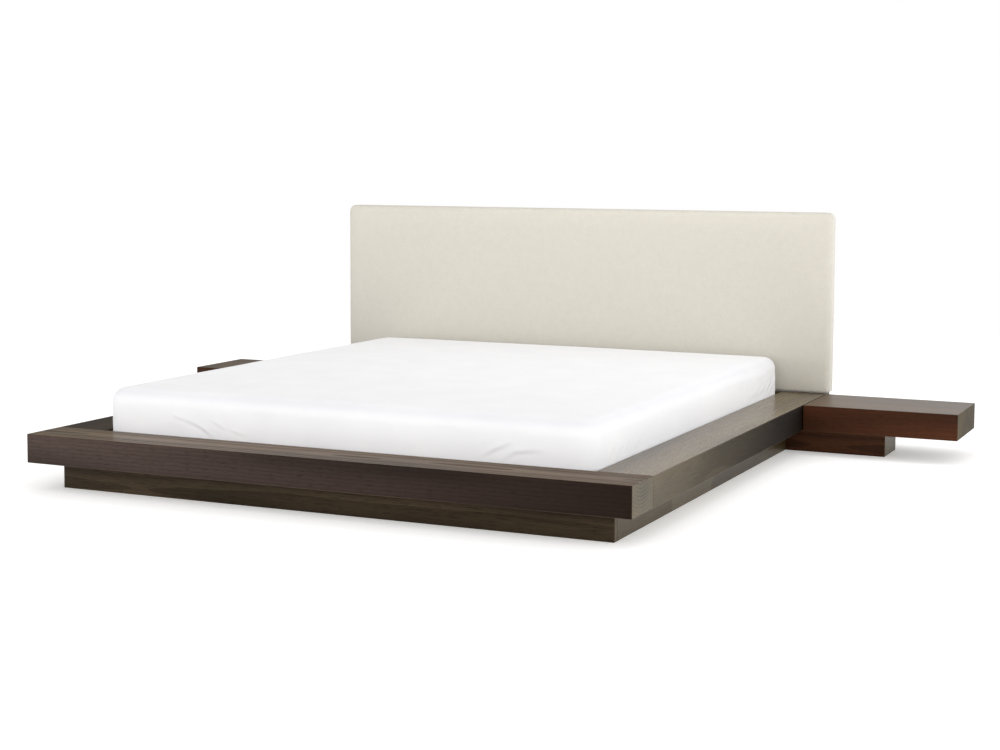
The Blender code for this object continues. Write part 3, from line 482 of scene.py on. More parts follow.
def measured(node):
    """The lowest and the highest corner of a node's box, its middle, and half its size along each axis."""
    low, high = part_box(node)
    middle = [(a + b) / 2 for a, b in zip(low, high)]
    return low, high, middle, [(b - a) / 2 for a, b in zip(low, high)]


def skin_lines(half, corner, edge, pitch):
    """Places across a skin, from -half to half: close together where an edge rounds over, and about a
    pitch apart inside."""
    insets = [edge * (1 - math.cos(math.pi / 2 * turn / edge_turns)) for turn in range(edge_turns + 1)]
    steps = max(1, round((corner - edge) / pitch))
    if corner > edge:
        insets += [edge + (corner - edge) * step / steps for step in range(1, steps + 1)]
    inner = half - insets[-1]
    count = max(2, round(2 * inner / pitch))
    middle = [inner - 2 * inner * step / count for step in range(1, count)]
    near = [half - inset for inset in insets]
    return sorted([-place for place in near] + middle + near)


def skin_grid(half_x, half_y, corner, edge, pitch):
    """The columns and the lines of a skin."""
    return [skin_lines(half, corner, edge, pitch) for half in (half_x, half_y)]


def soft_top(mesh, grid_lines, corner, edge, height):
    """A skin over a grid, whose corners and edges round over. Returns its rim in order."""
    columns, lines = grid_lines
    half_x = columns[-1]
    half_y = lines[-1]
    grid = []
    for line in lines:
        b = max(0.0, (abs(line) - half_y + corner) / corner)
        row = []
        for column in columns:
            a = max(0.0, (abs(column) - half_x + corner) / corner)
            across = a * math.sqrt(1 - b * b / 2)
            along = b * math.sqrt(1 - a * a / 2)
            x = math.copysign(half_x - corner + corner * across, column) if a else column
            y = math.copysign(half_y - corner + corner * along, line) if b else line
            past = max(0.0, edge - corner * (1 - math.hypot(across, along)))
            fall = edge - math.sqrt(max(0.0, edge**2 - past**2))
            row.append(mesh.verts.new((x, y, height(x, y) - fall)))
        grid.append(row)
    for near, far in zip(grid, grid[1:]):
        for here in range(len(columns) - 1):
            mesh.faces.new((near[here], near[here + 1], far[here + 1], far[here]))
    right = [row[-1] for row in grid[:-1]]
    left = [row[0] for row in grid[:0:-1]]
    return grid[0][:-1] + right + grid[-1][:0:-1] + left


def on_outline(x, y, half_x, half_y, corner):
    """The nearest point on the outline of a rounded rectangle, and the way outwards from it."""
    inner_x = max(corner - half_x, min(half_x - corner, x))
    inner_y = max(corner - half_y, min(half_y - corner, y))
    outward = Vector((x - inner_x, y - inner_y)).normalized()
    return Vector((inner_x, inner_y)) + outward * corner, outward


def band(mesh, upper, lower):
    """Joins two closed rings of points."""
    for here in range(len(upper)):
        after = (here + 1) % len(upper)
        mesh.faces.new((upper[here], lower[here], lower[after], upper[after]))


def skirt(mesh, rim, half_x, half_y, corner, rows, pitch, shape=None):
    """Carries a rim down through rows of (height, outset), with a point about every pitch.

    shape may move a point along the way outwards. Returns the rings, from the top one down."""
    spots = []
    splits = []
    for here, vertex in enumerate(rim):
        after = rim[(here + 1) % len(rim)]
        count = max(1, round((after.co.xy - vertex.co.xy).length / pitch))
        splits.append(count)
        spots += [vertex.co.xy.lerp(after.co.xy, step / count) for step in range(count)]
    rings = []
    for height, outset in rows:
        ring = []
        for spot in spots:
            reach = max(least_corner, corner + outset)
            point, outward = on_outline(*spot, half_x + outset, half_y + outset, reach)
            if shape:
                point += outward * shape(point, outward, height)
            ring.append(mesh.verts.new((*point, height)))
        rings.append(ring)
    first = rings[0]
    start = 0
    for here, count in enumerate(splits):
        vertex = rim[here]
        after = rim[(here + 1) % len(rim)]
        chain = [first[(start + step) % len(first)] for step in range(count + 1)]
        if count == 1:
            mesh.faces.new((vertex, chain[0], chain[1], after))
        else:
            half = count // 2
            for step in range(count):
                mesh.faces.new((vertex if step < half else after, chain[step], chain[step + 1]))
            mesh.faces.new((vertex, chain[half], after))
        start += count
    for upper, lower in zip(rings, rings[1:]):
        band(mesh, upper, lower)
    return rings


def new_piece(name, mesh_maker, material, body="bed"):
    """Makes a smooth piece of a mesh that is already in its place."""
    mesh = bpy.data.meshes.new(name)
    mesh_maker.to_mesh(mesh)
    mesh_maker.free()
    mesh.shade_smooth()
    mesh.materials.append(material)
    piece = put(name, mesh)
    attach(piece, body)
    return piece


def apply_modifiers(piece):
    """Keeps the shape that the modifiers give, and takes them off."""
    graph = bpy.context.evaluated_depsgraph_get()
    mesh = bpy.data.meshes.new_from_object(piece.evaluated_get(graph))
    piece.modifiers.clear()
    piece.data = mesh


def thicken(piece, thickness):
    """Gives a skin its wall, on the inside."""
    wall = piece.modifiers.new("wall", "SOLIDIFY")
    wall.thickness = thickness
    apply_modifiers(piece)


def inflate(piece, held, pressure, furthest):
    """Lets a cover swell as cloth that is held at some of its points, by no more than a given way."""
    before = [vertex.co.copy() for vertex in piece.data.vertices]
    group = piece.vertex_groups.new(name="held")
    group.add(held, 1.0, "REPLACE")
    cloth = piece.modifiers.new("cloth", "CLOTH")
    for name, value in cloth_settings.items():
        setattr(cloth.settings, name, value)
    cloth.settings.uniform_pressure_force = pressure
    cloth.settings.effector_weights.gravity = 0
    cloth.collision_settings.use_collision = False
    for number in range(1, cloth_frames + 1):
        bpy.context.scene.frame_set(number)
    graph = bpy.context.evaluated_depsgraph_get()
    after = [vertex.co.copy() for vertex in piece.evaluated_get(graph).data.vertices]
    piece.modifiers.clear()
    piece.vertex_groups.clear()
    bpy.context.scene.frame_set(1)
    for vertex, start, end in zip(piece.data.vertices, before, after):
        way = end - start
        if way.length > 1e-7:
            vertex.co = start + way.normalized() * furthest * math.tanh(way.length / furthest)


def leatherette(name, colour, deeper):
    """Embossed PU leatherette on a knitted back: a pebble grain of about a millimetre, faint creases and
    a soft sheen, a little deeper in tone in the hollows of the grain."""
    leather = Finish(name)
    pebbles = {"feature": "SMOOTH_F1", "Scale": 1 / leatherette_grain, "Smoothness": 0.6}
    grain = leather.add("TexVoronoi", output="Distance", Vector=leather.place, **pebbles)
    creases = leather.noise(leatherette_creases, 4.0)
    tone = leather.ramp(grain, (0.15, colour), (0.75, deeper))
    tone = leather.blend(1.0, tone, leather.ramp(creases, (0.3, "#fbfbfa"), (0.7, "#ffffff")), "MULTIPLY")
    gloss = leather.spread(grain, 0.42, 0.58)
    relief = leather.calculate("MULTIPLY_ADD", creases, 0.5, grain)
    return leather.done(relief, 0.2, leatherette_relief, Base_Color=tone, Roughness=gloss, IOR=1.4)


_, headboard_high, headboard_middle, headboard_half = measured("headboard_cover")
headboard_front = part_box("head_rail")[0][1]
headboard_depth = headboard_high[1] - headboard_front
# The skin is made lying on its back, and then stood up with its top facing the mattress.
standing = Matrix.Translation((0, headboard_front, headboard_middle[2]))
stand_up = standing @ Matrix.Rotation(math.pi / 2, 4, "X")


def headboard_form(x, y, half_x, half_y):
    """The height of the front over its edge: a low crown that rolls down beside the edges."""
    crown = headboard_crown * (1 - (x / half_x) ** 4) * (1 - (y / half_y) ** 4)
    inset = min(half_x - abs(x), half_y - y)
    roll = max(0.0, 1 - inset / headboard_roll_width)
    return crown - headboard_roll_depth * roll**2


def squared(u, v):
    """Takes a point of a quarter of a disc most of the way out to the square around it."""
    if u <= 0 or v <= 0:
        return u, v
    growth = 1 + headboard_bottom_squareness * (math.hypot(u, v) / max(u, v) - 1)
    return u * growth, v * growth


def headboard_skin(inset, depth, rows):
    """The front and the sides of the headboard, lying on its back: soft all round, and folded square
    along the bottom, where it stands on the rail. Returns its mesh and the rings of its sides."""
    half_x = headboard_half[0] - inset
    half_y = headboard_half[2] - inset
    corner = headboard_corner - inset
    edge = headboard_edge - inset
    mesh = bmesh.new()
    grid = skin_grid(half_x, half_y, corner, edge, headboard_pitch)
    rim = soft_top(mesh, grid, corner, edge, lambda x, y: headboard_form(x, y, half_x, half_y) - depth)
    rings = skirt(mesh, rim, half_x, half_y, corner, rows, headboard_pitch)
    for vertex in mesh.verts:
        x, y, z = vertex.co
        face = headboard_form(x, y, half_x, half_y) - depth
        low, front = squared((edge - half_y - y) / edge, 1 - (face - z) / edge)
        if low > 0 and front > 0:
            y = edge - half_y - low * edge
            z = face - (1 - front) * edge
        outer, low = squared((abs(x) - half_x + corner) / corner, (corner - half_y - y) / corner)
        if outer > 0 and low > 0:
            x = math.copysign(half_x - corner + outer * corner, x)
            y = corner - half_y - low * corner
        vertex.co = (x, y, z)
    return mesh, rings


def levels(top, bottom, count, draw):
    """Rows down a side that is drawn in most at half its height, or where draw is negative swells."""
    places = [(step + 1) / count for step in range(count)]
    return [(top + (bottom - top) * place, -draw * math.sin(math.pi * place)) for place in places]


cream_leatherette = leatherette("cream_leatherette", "#c9c5bb", "#bbb6ab")
side_top = -headboard_edge - headboard_roll_depth
side_rows = levels(side_top, -headboard_depth + headboard_fold, side_steps, headboard_side_draw)
return_shares = (1 / 30, 1 / 3, 2 / 3, 1)
return_rows = [(-headboard_depth, -leatherette_return * share) for share in return_shares]
upholstery_mesh, upholstery_rings = headboard_skin(headboard_slack, 0.0, side_rows + return_rows)
upholstery_mesh.transform(stand_up)
upholstery_mesh.verts.index_update()
# The staples hold the return behind the core, and its fold round the back edge.
stapled = len(return_rows) + 1
held_back = [vertex.index for ring in upholstery_rings[-stapled:] for vertex in ring]
upholstery = new_piece("headboard_upholstery", upholstery_mesh, cream_leatherette)
inflate(upholstery, held_back, upholstery_pressure, headboard_swell)
thicken(upholstery, leatherette_thickness)
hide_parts("headboard_cover")


def foam(name, colour, cell):
    """Cut polyurethane foam: open cells that show as small dark pits, and a matt, slightly mealy face."""
    block = Finish(name)
    cells = block.add("TexVoronoi", output="Distance", feature="F1", Vector=block.place, Scale=1 / cell)
    # Painted shade: the open cells are painted darker, as the shade in them.
    pits = block.ramp(cells, (0.1, "#b0b0b0"), (0.45, "#ffffff"))
    tone = block.blend(1.0, colour, pits, "MULTIPLY")
    return block.done(cells, 0.5, cell / 4, Base_Color=tone, Roughness=0.95)


# The cells of this and the other foams are drawn about three times as large as real ones.
headboard_foam = foam("polyurethane_foam_headboard", "#e9e2c6", 0.0022)
foam_clear = 0.003
foam_draw = 0.001
foam_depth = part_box("headboard_foam")[1][1] - headboard_front
foam_rows = levels(side_top, -foam_depth, 3, foam_draw)
foam_mesh, foam_rings = headboard_skin(headboard_slack + foam_clear, foam_clear, foam_rows)
foam_mesh.faces.new(list(reversed(foam_rings[-1])))
foam_mesh.transform(stand_up)
foam_slab = new_piece("headboard_foam_slab", foam_mesh, headboard_foam)
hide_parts("headboard_foam")
paint(beam_plywood, "headboard_core")

# Back of the headboard. A black dust cloth covers the stapled edge of the leatherette. Two struts of
# plywood are screwed to the core and to the head rail with hexagon-socket bolts.
dust_low, dust_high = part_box("headboard_back_cloth")
dust_pitch = 0.016
dust_sag = 0.0002
dust_waves = (7.0, 9.0)
dust_thickness = 0.0004
dust_thread = 0.0024
dust_dimple = 0.003
dust_relief = 0.0003
staple_pitch = 0.045
staple_inset = 0.010
staple_crown = 0.010
staple_wire = 0.0008


def spunbond(name, colour, dimple):
    """Spun-bonded polypropylene cloth: a felt of threads, pressed together in rows of small dimples."""
    cloth = Finish(name)
    felt = cloth.noise(dust_thread, 4.0)
    relief = cloth.calculate("MULTIPLY_ADD", cloth.crossed_waves(cloth.place, "XZ", dimple), 0.5, felt)
    tone = cloth.ramp(felt, (0.3, colour), (0.75, "#3a3a3c"))
    return cloth.done(relief, 0.4, dust_relief, Base_Color=tone, Roughness=0.85)


black_spunbond = spunbond("black_spunbond_cloth", "#19191b", dust_dimple)
dust_mesh = bmesh.new()
dust_width = dust_high[0] - dust_low[0]
dust_height = dust_high[2] - dust_low[2]
dust_columns = round(dust_width / dust_pitch)
dust_rows = round(dust_height / dust_pitch)
dust_grid = []
for row in range(dust_rows + 1):
    z = dust_low[2] + dust_height * row / dust_rows
    dust_grid.append([])
    for column in range(dust_columns + 1):
        x = dust_low[0] + dust_width * column / dust_columns
        wave = dust_sag * noise.noise(Vector((x * dust_waves[0], z * dust_waves[1], 0.3)))
        dust_grid[-1].append(dust_mesh.verts.new((x, dust_high[1] - dust_sag + wave, z)))
for lower, upper in zip(dust_grid, dust_grid[1:]):
    for column in range(dust_columns):
        dust_mesh.faces.new((lower[column], upper[column], upper[column + 1], lower[column + 1]))
dust_cloth = new_piece("headboard_dust_cloth", dust_mesh, black_spunbond)
thicken(dust_cloth, dust_thickness)
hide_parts("headboard_back_cloth")

# The same tree sets staples, zip teeth, ticks and grip ribs in a row along a path.
row_tree = bpy.data.node_groups.new("row_along_a_path", "GeometryNodeTree")
row_inputs = {"Path": "Geometry", "Item": "Object", "Count": "Int", "Up": "Vector", "Finish": "Material"}
for label, kind in row_inputs.items():
    row_tree.interface.new_socket(label, in_out="INPUT", socket_type=f"NodeSocket{kind}")
row_tree.interface.new_socket("Row", in_out="OUTPUT", socket_type="NodeSocketGeometry")
rows = Nodes(row_tree, "")
entry = rows.new("NodeGroupInput", {})
path_curve = rows.add("GeometryNodeMeshToCurve", Mesh=entry["Path"])
even_steps = rows.add("GeometryNodeResampleCurve", mode="COUNT", Curve=path_curve, Count=entry["Count"])
align = "FunctionNodeAlignRotationToVector"
upright = rows.add(align, axis="Z", Vector=entry["Up"])
along_path = rows.add("GeometryNodeInputTangent")
turned = rows.add(align, axis="X", pivot_axis="Z", Rotation=upright, Vector=along_path)
one_item = rows.add("GeometryNodeObjectInfo", output="Geometry", Object=entry["Item"])
placed = rows.add("GeometryNodeInstanceOnPoints", Points=even_steps, Instance=one_item, Rotation=turned)
all_real = rows.add("GeometryNodeRealizeInstances", Geometry=placed)
finished = rows.add("GeometryNodeSetMaterial", Geometry=all_real, Material=entry["Finish"])
rows.new("NodeGroupOutput", {"Row": finished})


def row_along(name, places, item_maker, count, up, material, slot, body="bed", closed=True):
    """A piece made of like items, set at even steps along a path, each with its length along it."""
    path = bpy.data.meshes.new(f"{name}_path")
    links = [(here, here + 1) for here in range(len(places) - 1)]
    path.from_pydata(places, links + [(len(places) - 1, 0)] * closed, [])
    piece = put(name, path)
    item_mesh = bpy.data.meshes.new(f"{name}_item")
    item_maker.to_mesh(item_mesh)
    item_maker.free()
    item = put(f"{name}_item", item_mesh)
    row = piece.modifiers.new("row", "NODES")
    row.node_group = row_tree
    values = {"Item": item, "Count": count, "Up": up, "Finish": material}
    for socket in row_tree.interface.items_tree:
        if socket.name in values:
            row[socket.identifier] = values[socket.name]
    apply_modifiers(piece)
    bpy.data.objects.remove(item)
    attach(piece, body)


def bar(length, width, height, chamfer):
    """A small bar with chamfered arrises, standing on its own origin."""
    mesh = bmesh.new()
    bmesh.ops.create_cube(mesh, size=1.0)
    bmesh.ops.scale(mesh, vec=(length, width, height), verts=mesh.verts)
    bmesh.ops.translate(mesh, vec=(0, 0, height / 2), verts=mesh.verts)
    bmesh.ops.bevel(mesh, geom=mesh.edges, offset=chamfer, segments=1, profile=0.5, affect="EDGES")
    return mesh


staple_x = dust_high[0] - staple_inset
staple_low = dust_low[2] + staple_inset
staple_high = dust_high[2] - staple_inset
staple_corners = [(-1, staple_low), (1, staple_low), (1, staple_high), (-1, staple_high)]
staple_count = round(2 * (2 * staple_x + staple_high - staple_low) / staple_pitch)
staple_places = [(side * staple_x, dust_high[1] - dust_sag, z) for side, z in staple_corners]
staple = bar(staple_crown, staple_wire, staple_wire, staple_wire / 5)
row_along("dust_cloth_staples", staple_places, staple, staple_count, (0, 1, 0), zinc, "zinc_steel")
strut_plywood = raw_plywood("raw_birch_plywood_strut", "Z", "Y")
for side in sides:
    paint(strut_plywood, f"headboard_strut_{side}")
    paint(zinc, f"strut_bolt_{side}_lower", f"strut_bolt_{side}_upper")

# Heater controls. Two moulded housings are fixed to the back of the plinth, one for each chamber. Each
# has a ribbed temperature dial with a printed scale from 1 to 6, and a rocker switch marked I and O.
circle_steps = 96
scale_steps = 90
ring_steps = 28
dial_scale_ticks = 21
dial_scale_sweep = math.radians(270)
dial_scale_gap = 0.0022
dial_tick = (0.0005, 0.0026, 0.00015)
dial_rib = (0.0008, 0.0010, 0.0078)
dial_rib_count = 44
dial_rib_top = 0.009
dial_rib_sink = 0.0004
dial_number_size = 0.0048
dial_pointer = (0.0022, 0.0105, 0.0004)
dial_pointer_from_rim = 0.0065
dial_pointer_depth = 0.00115
rocker_tilt = math.radians(8)
rocker_face = 0.003
rocker_mark_spread = 0.0055
rocker_on_mark = (0.0007, 0.0034)
rocker_off_mark = (0.0019, 0.0006)
small_arris = 0.0002
print_thickness = 0.00012
spark_pit = 0.0006
spark_relief = 0.0001
rubbed_patch = 0.035
ink_speck = 0.0011


def moulded_abs(name, colour, worn):
    """Injection-moulded ABS from a spark-eroded mould: a fine matt grain, rubbed brighter here and there."""
    plastic = Finish(name)
    rub = plastic.noise(rubbed_patch, 3.0)
    tone = plastic.ramp(rub, (0.35, colour), (0.75, worn))
    gloss = plastic.spread(rub, 0.55, 0.38)
    pits = plastic.noise(spark_pit, 2.0)
    return plastic.done(pits, 0.3, spark_relief, Base_Color=tone, Roughness=gloss, IOR=1.53)


def screen_print(name, colour):
    """White screen-printing ink, a thin matt film with a slightly uneven edge to its tone."""
    ink = Finish(name)
    tone = ink.ramp(ink.noise(ink_speck, 2.0), (0.3, "#d4d4d0"), (0.6, colour))
    return ink.done(Base_Color=tone, Roughness=0.6)


housing_abs = moulded_abs("moulded_abs_housing", "#2b2c2e", "#37383b")
dial_abs = moulded_abs("moulded_abs_dial", "#202123", "#303134")
rocker_nylon = moulded_abs("moulded_nylon_rocker", "#161718", "#232426")
white_ink = screen_print("white_screen_print", "#f2f2ee")


def flat_ring(radius, width):
    """A thin printed ring around its own origin."""
    mesh = bmesh.new()
    loops = []
    for reach in (radius, radius - width):
        turns = [math.tau * step / ring_steps for step in range(ring_steps)]
        loops.append([mesh.verts.new((reach * math.sin(t), reach * math.cos(t), 0)) for t in turns])
    band(mesh, *loops)
    lifted = bmesh.ops.extrude_face_region(mesh, geom=mesh.faces[:])["geom"]
    upper = [part for part in lifted if isinstance(part, bmesh.types.BMVert)]
    bmesh.ops.translate(mesh, vec=(0, 0, print_thickness), verts=upper)
    bmesh.ops.recalc_face_normals(mesh, faces=mesh.faces)
    return mesh


def facing_back(x, y, z):
    """Lays what is drawn flat onto a face that looks away from the bed, upright for someone behind it."""
    return Matrix(((-1, 0, 0, x), (0, 0, 1, y), (0, 1, 0, z), (0, 0, 0, 1)))


def pour(maker, whole):
    """Adds a mesh in the making to another."""
    carried = bpy.data.meshes.new("carried")
    maker.to_mesh(carried)
    maker.free()
    whole.from_mesh(carried)
    bpy.data.meshes.remove(carried)


def joined(makers):
    """One mesh of several."""
    whole = bmesh.new()
    for maker in makers:
        pour(maker, whole)
    return whole


def printed_number(label, size):
    """A numeral as a thin solid, centred on its own origin."""
    curve = bpy.data.curves.new(f"number_{label}", "FONT")
    curve.body = label
    curve.size = size
    curve.align_x = "CENTER"
    curve.align_y = "CENTER"
    curve.extrude = print_thickness / 2
    curve.resolution_u = 3
    writing = put(f"number_{label}", curve)
    bpy.context.view_layer.update()
    graph = bpy.context.evaluated_depsgraph_get()
    solid = bpy.data.meshes.new_from_object(writing.evaluated_get(graph))
    mesh = bmesh.new()
    mesh.from_mesh(solid)
    bpy.data.objects.remove(writing)
    bmesh.ops.translate(mesh, vec=(0, 0, print_thickness / 2), verts=mesh.verts)
    return mesh


def around(centre, angle, radius, y):
    """A place on a circle that faces away from the bed, at an angle from its highest point."""
    return (centre[0] - radius * math.sin(angle), y, centre[1] + radius * math.cos(angle))


def print_mark(name, mesh_maker, body="bed"):
    """A printed piece, whose faces stay flat."""
    new_piece(name, mesh_maker, white_ink, body).data.shade_flat()


for side in sides:
    _, dial_high, dial_middle, dial_half = measured(f"temperature_dial_{side}")
    rocker_x, _, rocker_z = measured(f"rocker_switch_{side}")[2]
    paint(housing_abs, f"control_housing_{side}")
    paint(dial_abs, f"temperature_dial_{side}")
    paint(rocker_nylon, f"rocker_switch_{side}")
    dial_axis = (dial_middle[0], dial_middle[2])
    dial_radius = dial_half[0]
    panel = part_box(f"control_housing_{side}")[1][1]
    tick_radius = dial_radius + dial_scale_gap + dial_tick[1] / 2
    steps = [dial_scale_sweep * (step / scale_steps - 0.5) for step in range(scale_steps + 1)]
    tick = bar(*dial_tick, dial_tick[2] / 4)
    tick_places = [around(dial_axis, angle, tick_radius, panel) for angle in steps]
    tick_look = ((0, 1, 0), white_ink, "dark_plastic")
    row_along(f"dial_scale_ticks_{side}", tick_places, tick, dial_scale_ticks, *tick_look, closed=False)
    numbers = []
    for label in range(1, 7):
        angle = dial_scale_sweep * ((label - 1) / 5 - 0.5)
        number = printed_number(str(label), dial_number_size)
        number.transform(facing_back(*around(dial_axis, angle, tick_radius + dial_number_size, panel)))
        numbers.append(number)
    print_mark(f"dial_numbers_{side}", joined(numbers))
    rib_radius = dial_radius - dial_rib_sink
    rib_start = dial_high[1] - dial_rib_top
    rib = bar(*dial_rib, small_arris)
    turns = [math.tau * step / circle_steps for step in range(circle_steps)]
    rib_places = [around(dial_axis, turn, rib_radius, rib_start) for turn in turns]
    rib_look = ((0, 1, 0), dial_abs, "dark_plastic", f"dial_{side}")
    row_along(f"dial_grip_ribs_{side}", rib_places, rib, dial_rib_count, *rib_look)
    # The painted pointer lies in the groove that is turned with the dial, at the low end of the scale.
    pointer = bar(*dial_pointer, small_arris / 2)
    pointer.transform(Matrix.Translation((0, dial_radius - dial_pointer_from_rim, 0)))
    pointer.transform(Matrix.Rotation(dial_scale_sweep / 2, 4, "Z"))
    pointer.transform(facing_back(dial_axis[0], dial_high[1] - dial_pointer_depth, dial_axis[1]))
    print_mark(f"dial_pointer_{side}", pointer, f"dial_{side}")

    # The rocker rests pressed in at one end, so that its marks are tilted with it.
    pivot = Vector((rocker_x, panel - rocker_face, rocker_z))
    tilt = Matrix.Translation(pivot) @ Matrix.Rotation(-rocker_tilt, 4, "X") @ Matrix.Translation(-pivot)
    mark_on = bar(*rocker_on_mark, print_thickness, print_thickness / 5)
    mark_off = flat_ring(*rocker_off_mark)
    for mark, way in ((mark_on, 1), (mark_off, -1)):
        mark.transform(tilt @ facing_back(rocker_x, panel + rocker_face, pivot.z + way * rocker_mark_spread))
    print_mark(f"rocker_marks_{side}", joined((mark_on, mark_off)), f"rocker_{side}")

# Mattress case, lower half. A knitted cover, zipped all round to its quilted upper half, stands on the
# deck and holds the foam, the liner, the water and the heaters together.
case_low, case_high, case_middle, case_half = measured("cover_base")
case_clear = 0.0017
case_half_width = case_half[0] - case_clear
case_half_length = case_half[1] - case_clear
case_wall = 0.0024
case_floor = 0.0028
case_corner = 0.0525
case_foot_edge = 0.010
case_pitch = 0.018
# No edge of the case's rim is as long as this, so that its sides have one face for each of them.
case_side_pitch = 10.0
# The ribs of the knit are drawn about twice as wide as real ones.
case_rib = 0.0030
knit_fuzz = 0.0033
knit_relief = 0.0005
mattress_middle = case_middle[1]
on_deck = Matrix.Translation((0, mattress_middle, 0))
# A skin that is made upside down and turned over about the x axis keeps its outside outwards.
turned_over = on_deck @ Matrix.Rotation(math.pi, 4, "X")


def knit(name, colour, hollow, rib):
    """Knitted polyester with a fine rib: soft parallel ridges, matt, with a light fuzz at the edges."""
    jersey = Finish(name)
    parts = jersey.split(jersey.place)
    level = jersey.calculate("ADD", parts["X"], parts["Y"])
    ridge = jersey.calculate("SINE", jersey.calculate("MULTIPLY", level, math.tau / rib))
    relief = jersey.calculate("MULTIPLY_ADD", ridge, 0.5, jersey.noise(knit_fuzz, 3.0))
    # Painted shade: the hollow tone darkens the low places between the ribs.
    tone = jersey.ramp(relief, (0.1, hollow), (0.8, colour))
    return jersey.done(relief, 0.35, knit_relief, Base_Color=tone, Roughness=0.9, Sheen_Weight=0.2)


def case_shell(name, edge, outer_form, inner_form, lowest, material, place):
    """A cover with a wall: an outer and an inner skin, each with a form for its height, down to the same
    lowest level and joined along their rims."""
    mesh = bmesh.new()
    rims = []
    lines = skin_grid(case_half_width, case_half_length, case_corner, edge, case_pitch)
    for inset, form in ((0.0, outer_form), (case_wall, inner_form)):
        made = bmesh.new()
        half_x = case_half_width - inset
        half_y = case_half_length - inset
        columns = [column * half_x / case_half_width for column in lines[0]]
        cross_lines = [line * half_y / case_half_length for line in lines[1]]
        rim = soft_top(made, (columns, cross_lines), case_corner - inset, edge - inset, form)
        rows = levels(min(vertex.co.z for vertex in rim), lowest, side_steps, 0.0)
        ring = skirt(made, rim, half_x, half_y, case_corner - inset, rows, case_side_pitch)[-1]
        made.verts.index_update()
        rims.append([vertex.index + len(mesh.verts) for vertex in ring])
        if inset:
            bmesh.ops.reverse_faces(made, faces=made.faces)
        pour(made, mesh)
        mesh.verts.ensure_lookup_table()
    band(mesh, *([mesh.verts[number] for number in rim] for rim in rims))
    mesh.transform(place)
    piece = new_piece(name, mesh, material)
    return piece


ribbed_knit = knit("ribbed_polyester_knit", "#e9e7e0", "#d6d3ca", case_rib)
lower_case = case_shell(
    "mattress_case_lower",
    case_foot_edge,
    lambda x, y: -case_low[2],
    lambda x, y: -case_low[2] - case_floor,
    -case_high[2],
    ribbed_knit,
    turned_over,
)
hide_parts("cover_base")

# Heater pads. A film with printed bars of carbon, welded between two sheets of vinyl, lies under each
# chamber. Its lead runs under the deck to the control on the back of the plinth.
heater_middle, heater_half = (part[0] for part in measured("heater_pad_right")[2:])
carbon_bar_pitch = 0.020
carbon_bar_gap = 0.0064
copper_strip_from_edge = 0.022
copper_strip_half = 0.006
heater_weld = 0.014
vinyl_ripple = 0.083
vinyl_relief = 0.001


def heater_film(name):
    """Heating film: bars of printed carbon between two copper strips, seen through a clear vinyl sheet."""
    film = Finish(name)
    parts = film.split(film.place)
    turn = film.calculate("PINGPONG", parts["Y"], carbon_bar_pitch / 2)
    carbon = film.calculate("GREATER_THAN", turn, carbon_bar_gap / 2)
    tone = film.blend(carbon, "#b9b3a4", "#1d1d1f")
    across = film.calculate("SUBTRACT", film.calculate("ABSOLUTE", parts["X"]), heater_middle)
    off_middle = film.calculate("ABSOLUTE", across)
    strip_place = (heater_half - copper_strip_from_edge, copper_strip_half)
    tone = film.blend(film.calculate("COMPARE", off_middle, *strip_place), tone, "#b4713f")
    margin = film.calculate("GREATER_THAN", off_middle, heater_half - heater_weld)
    tone = film.blend(margin, tone, "#c9c4b6")
    ripple = film.noise(vinyl_ripple, 2.0)
    return film.done(ripple, 0.3, vinyl_relief, Base_Color=tone, Roughness=0.3)


printed_heater = heater_film("carbon_heating_film")
paint(printed_heater, "heater_pad_left", "heater_pad_right")

# Foam bolsters and divider. Four bolsters of firm foam stand around the water and slope down towards it,
# and a thin panel keeps the two chambers apart.
bolster_round = 0.006
divider_round = 0.002
long_edge = 0.1
long_edge_cuts = 6
cut_waver = 0.0008
cut_waver_pitch = 0.071


def node_copy(node):
    """A workable copy of a piece of the frame, with its loose triangles sewn and its flat faces whole."""
    mesh = bmesh.new()
    mesh.from_mesh(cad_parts[node].data)
    bmesh.ops.remove_doubles(mesh, verts=mesh.verts, dist=1e-5)
    bmesh.ops.dissolve_limit(mesh, angle_limit=math.radians(1), verts=mesh.verts, edges=mesh.edges)
    return mesh


def foam_block(name, node, material, rounding):
    """A block of foam in place of a node: its arrises are soft, and its cut faces waver a little."""
    mesh = node_copy(node)
    bmesh.ops.bevel(mesh, geom=mesh.edges, offset=rounding, segments=3, profile=0.5, affect="EDGES")
    long_edges = [edge for edge in mesh.edges if edge.calc_length() > long_edge]
    bmesh.ops.subdivide_edges(mesh, edges=long_edges, cuts=long_edge_cuts, use_grid_fill=True)
    for vertex in mesh.verts:
        spot = vertex.co / cut_waver_pitch
        waver = Vector((noise.noise(spot), noise.noise(spot.zxy), -abs(noise.noise(spot.yzx))))
        vertex.co += cut_waver * waver
    piece = new_piece(name, mesh, material)
    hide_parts(node)


firm_foam = foam("polyurethane_foam_bolster", "#dfe3d8", 0.0026)
for place in ("left", "right", "foot", "head"):
    foam_block(f"foam_bolster_{place}", f"bolster_{place}", firm_foam, bolster_round)
divider_foam = foam("polyethylene_foam_divider", "#e4e4e2", 0.0018)
foam_block("foam_divider_panel", "thermal_divider", divider_foam, divider_round)

# Safety liner. A tray of vinyl film lies in the well between the bolsters and catches any leak. It is
# welded at its corners, and it keeps faint creases from having been folded.
liner_low, liner_high, _, liner_half = measured("safety_liner")
bolster_low, bolster_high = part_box("bolster_left")
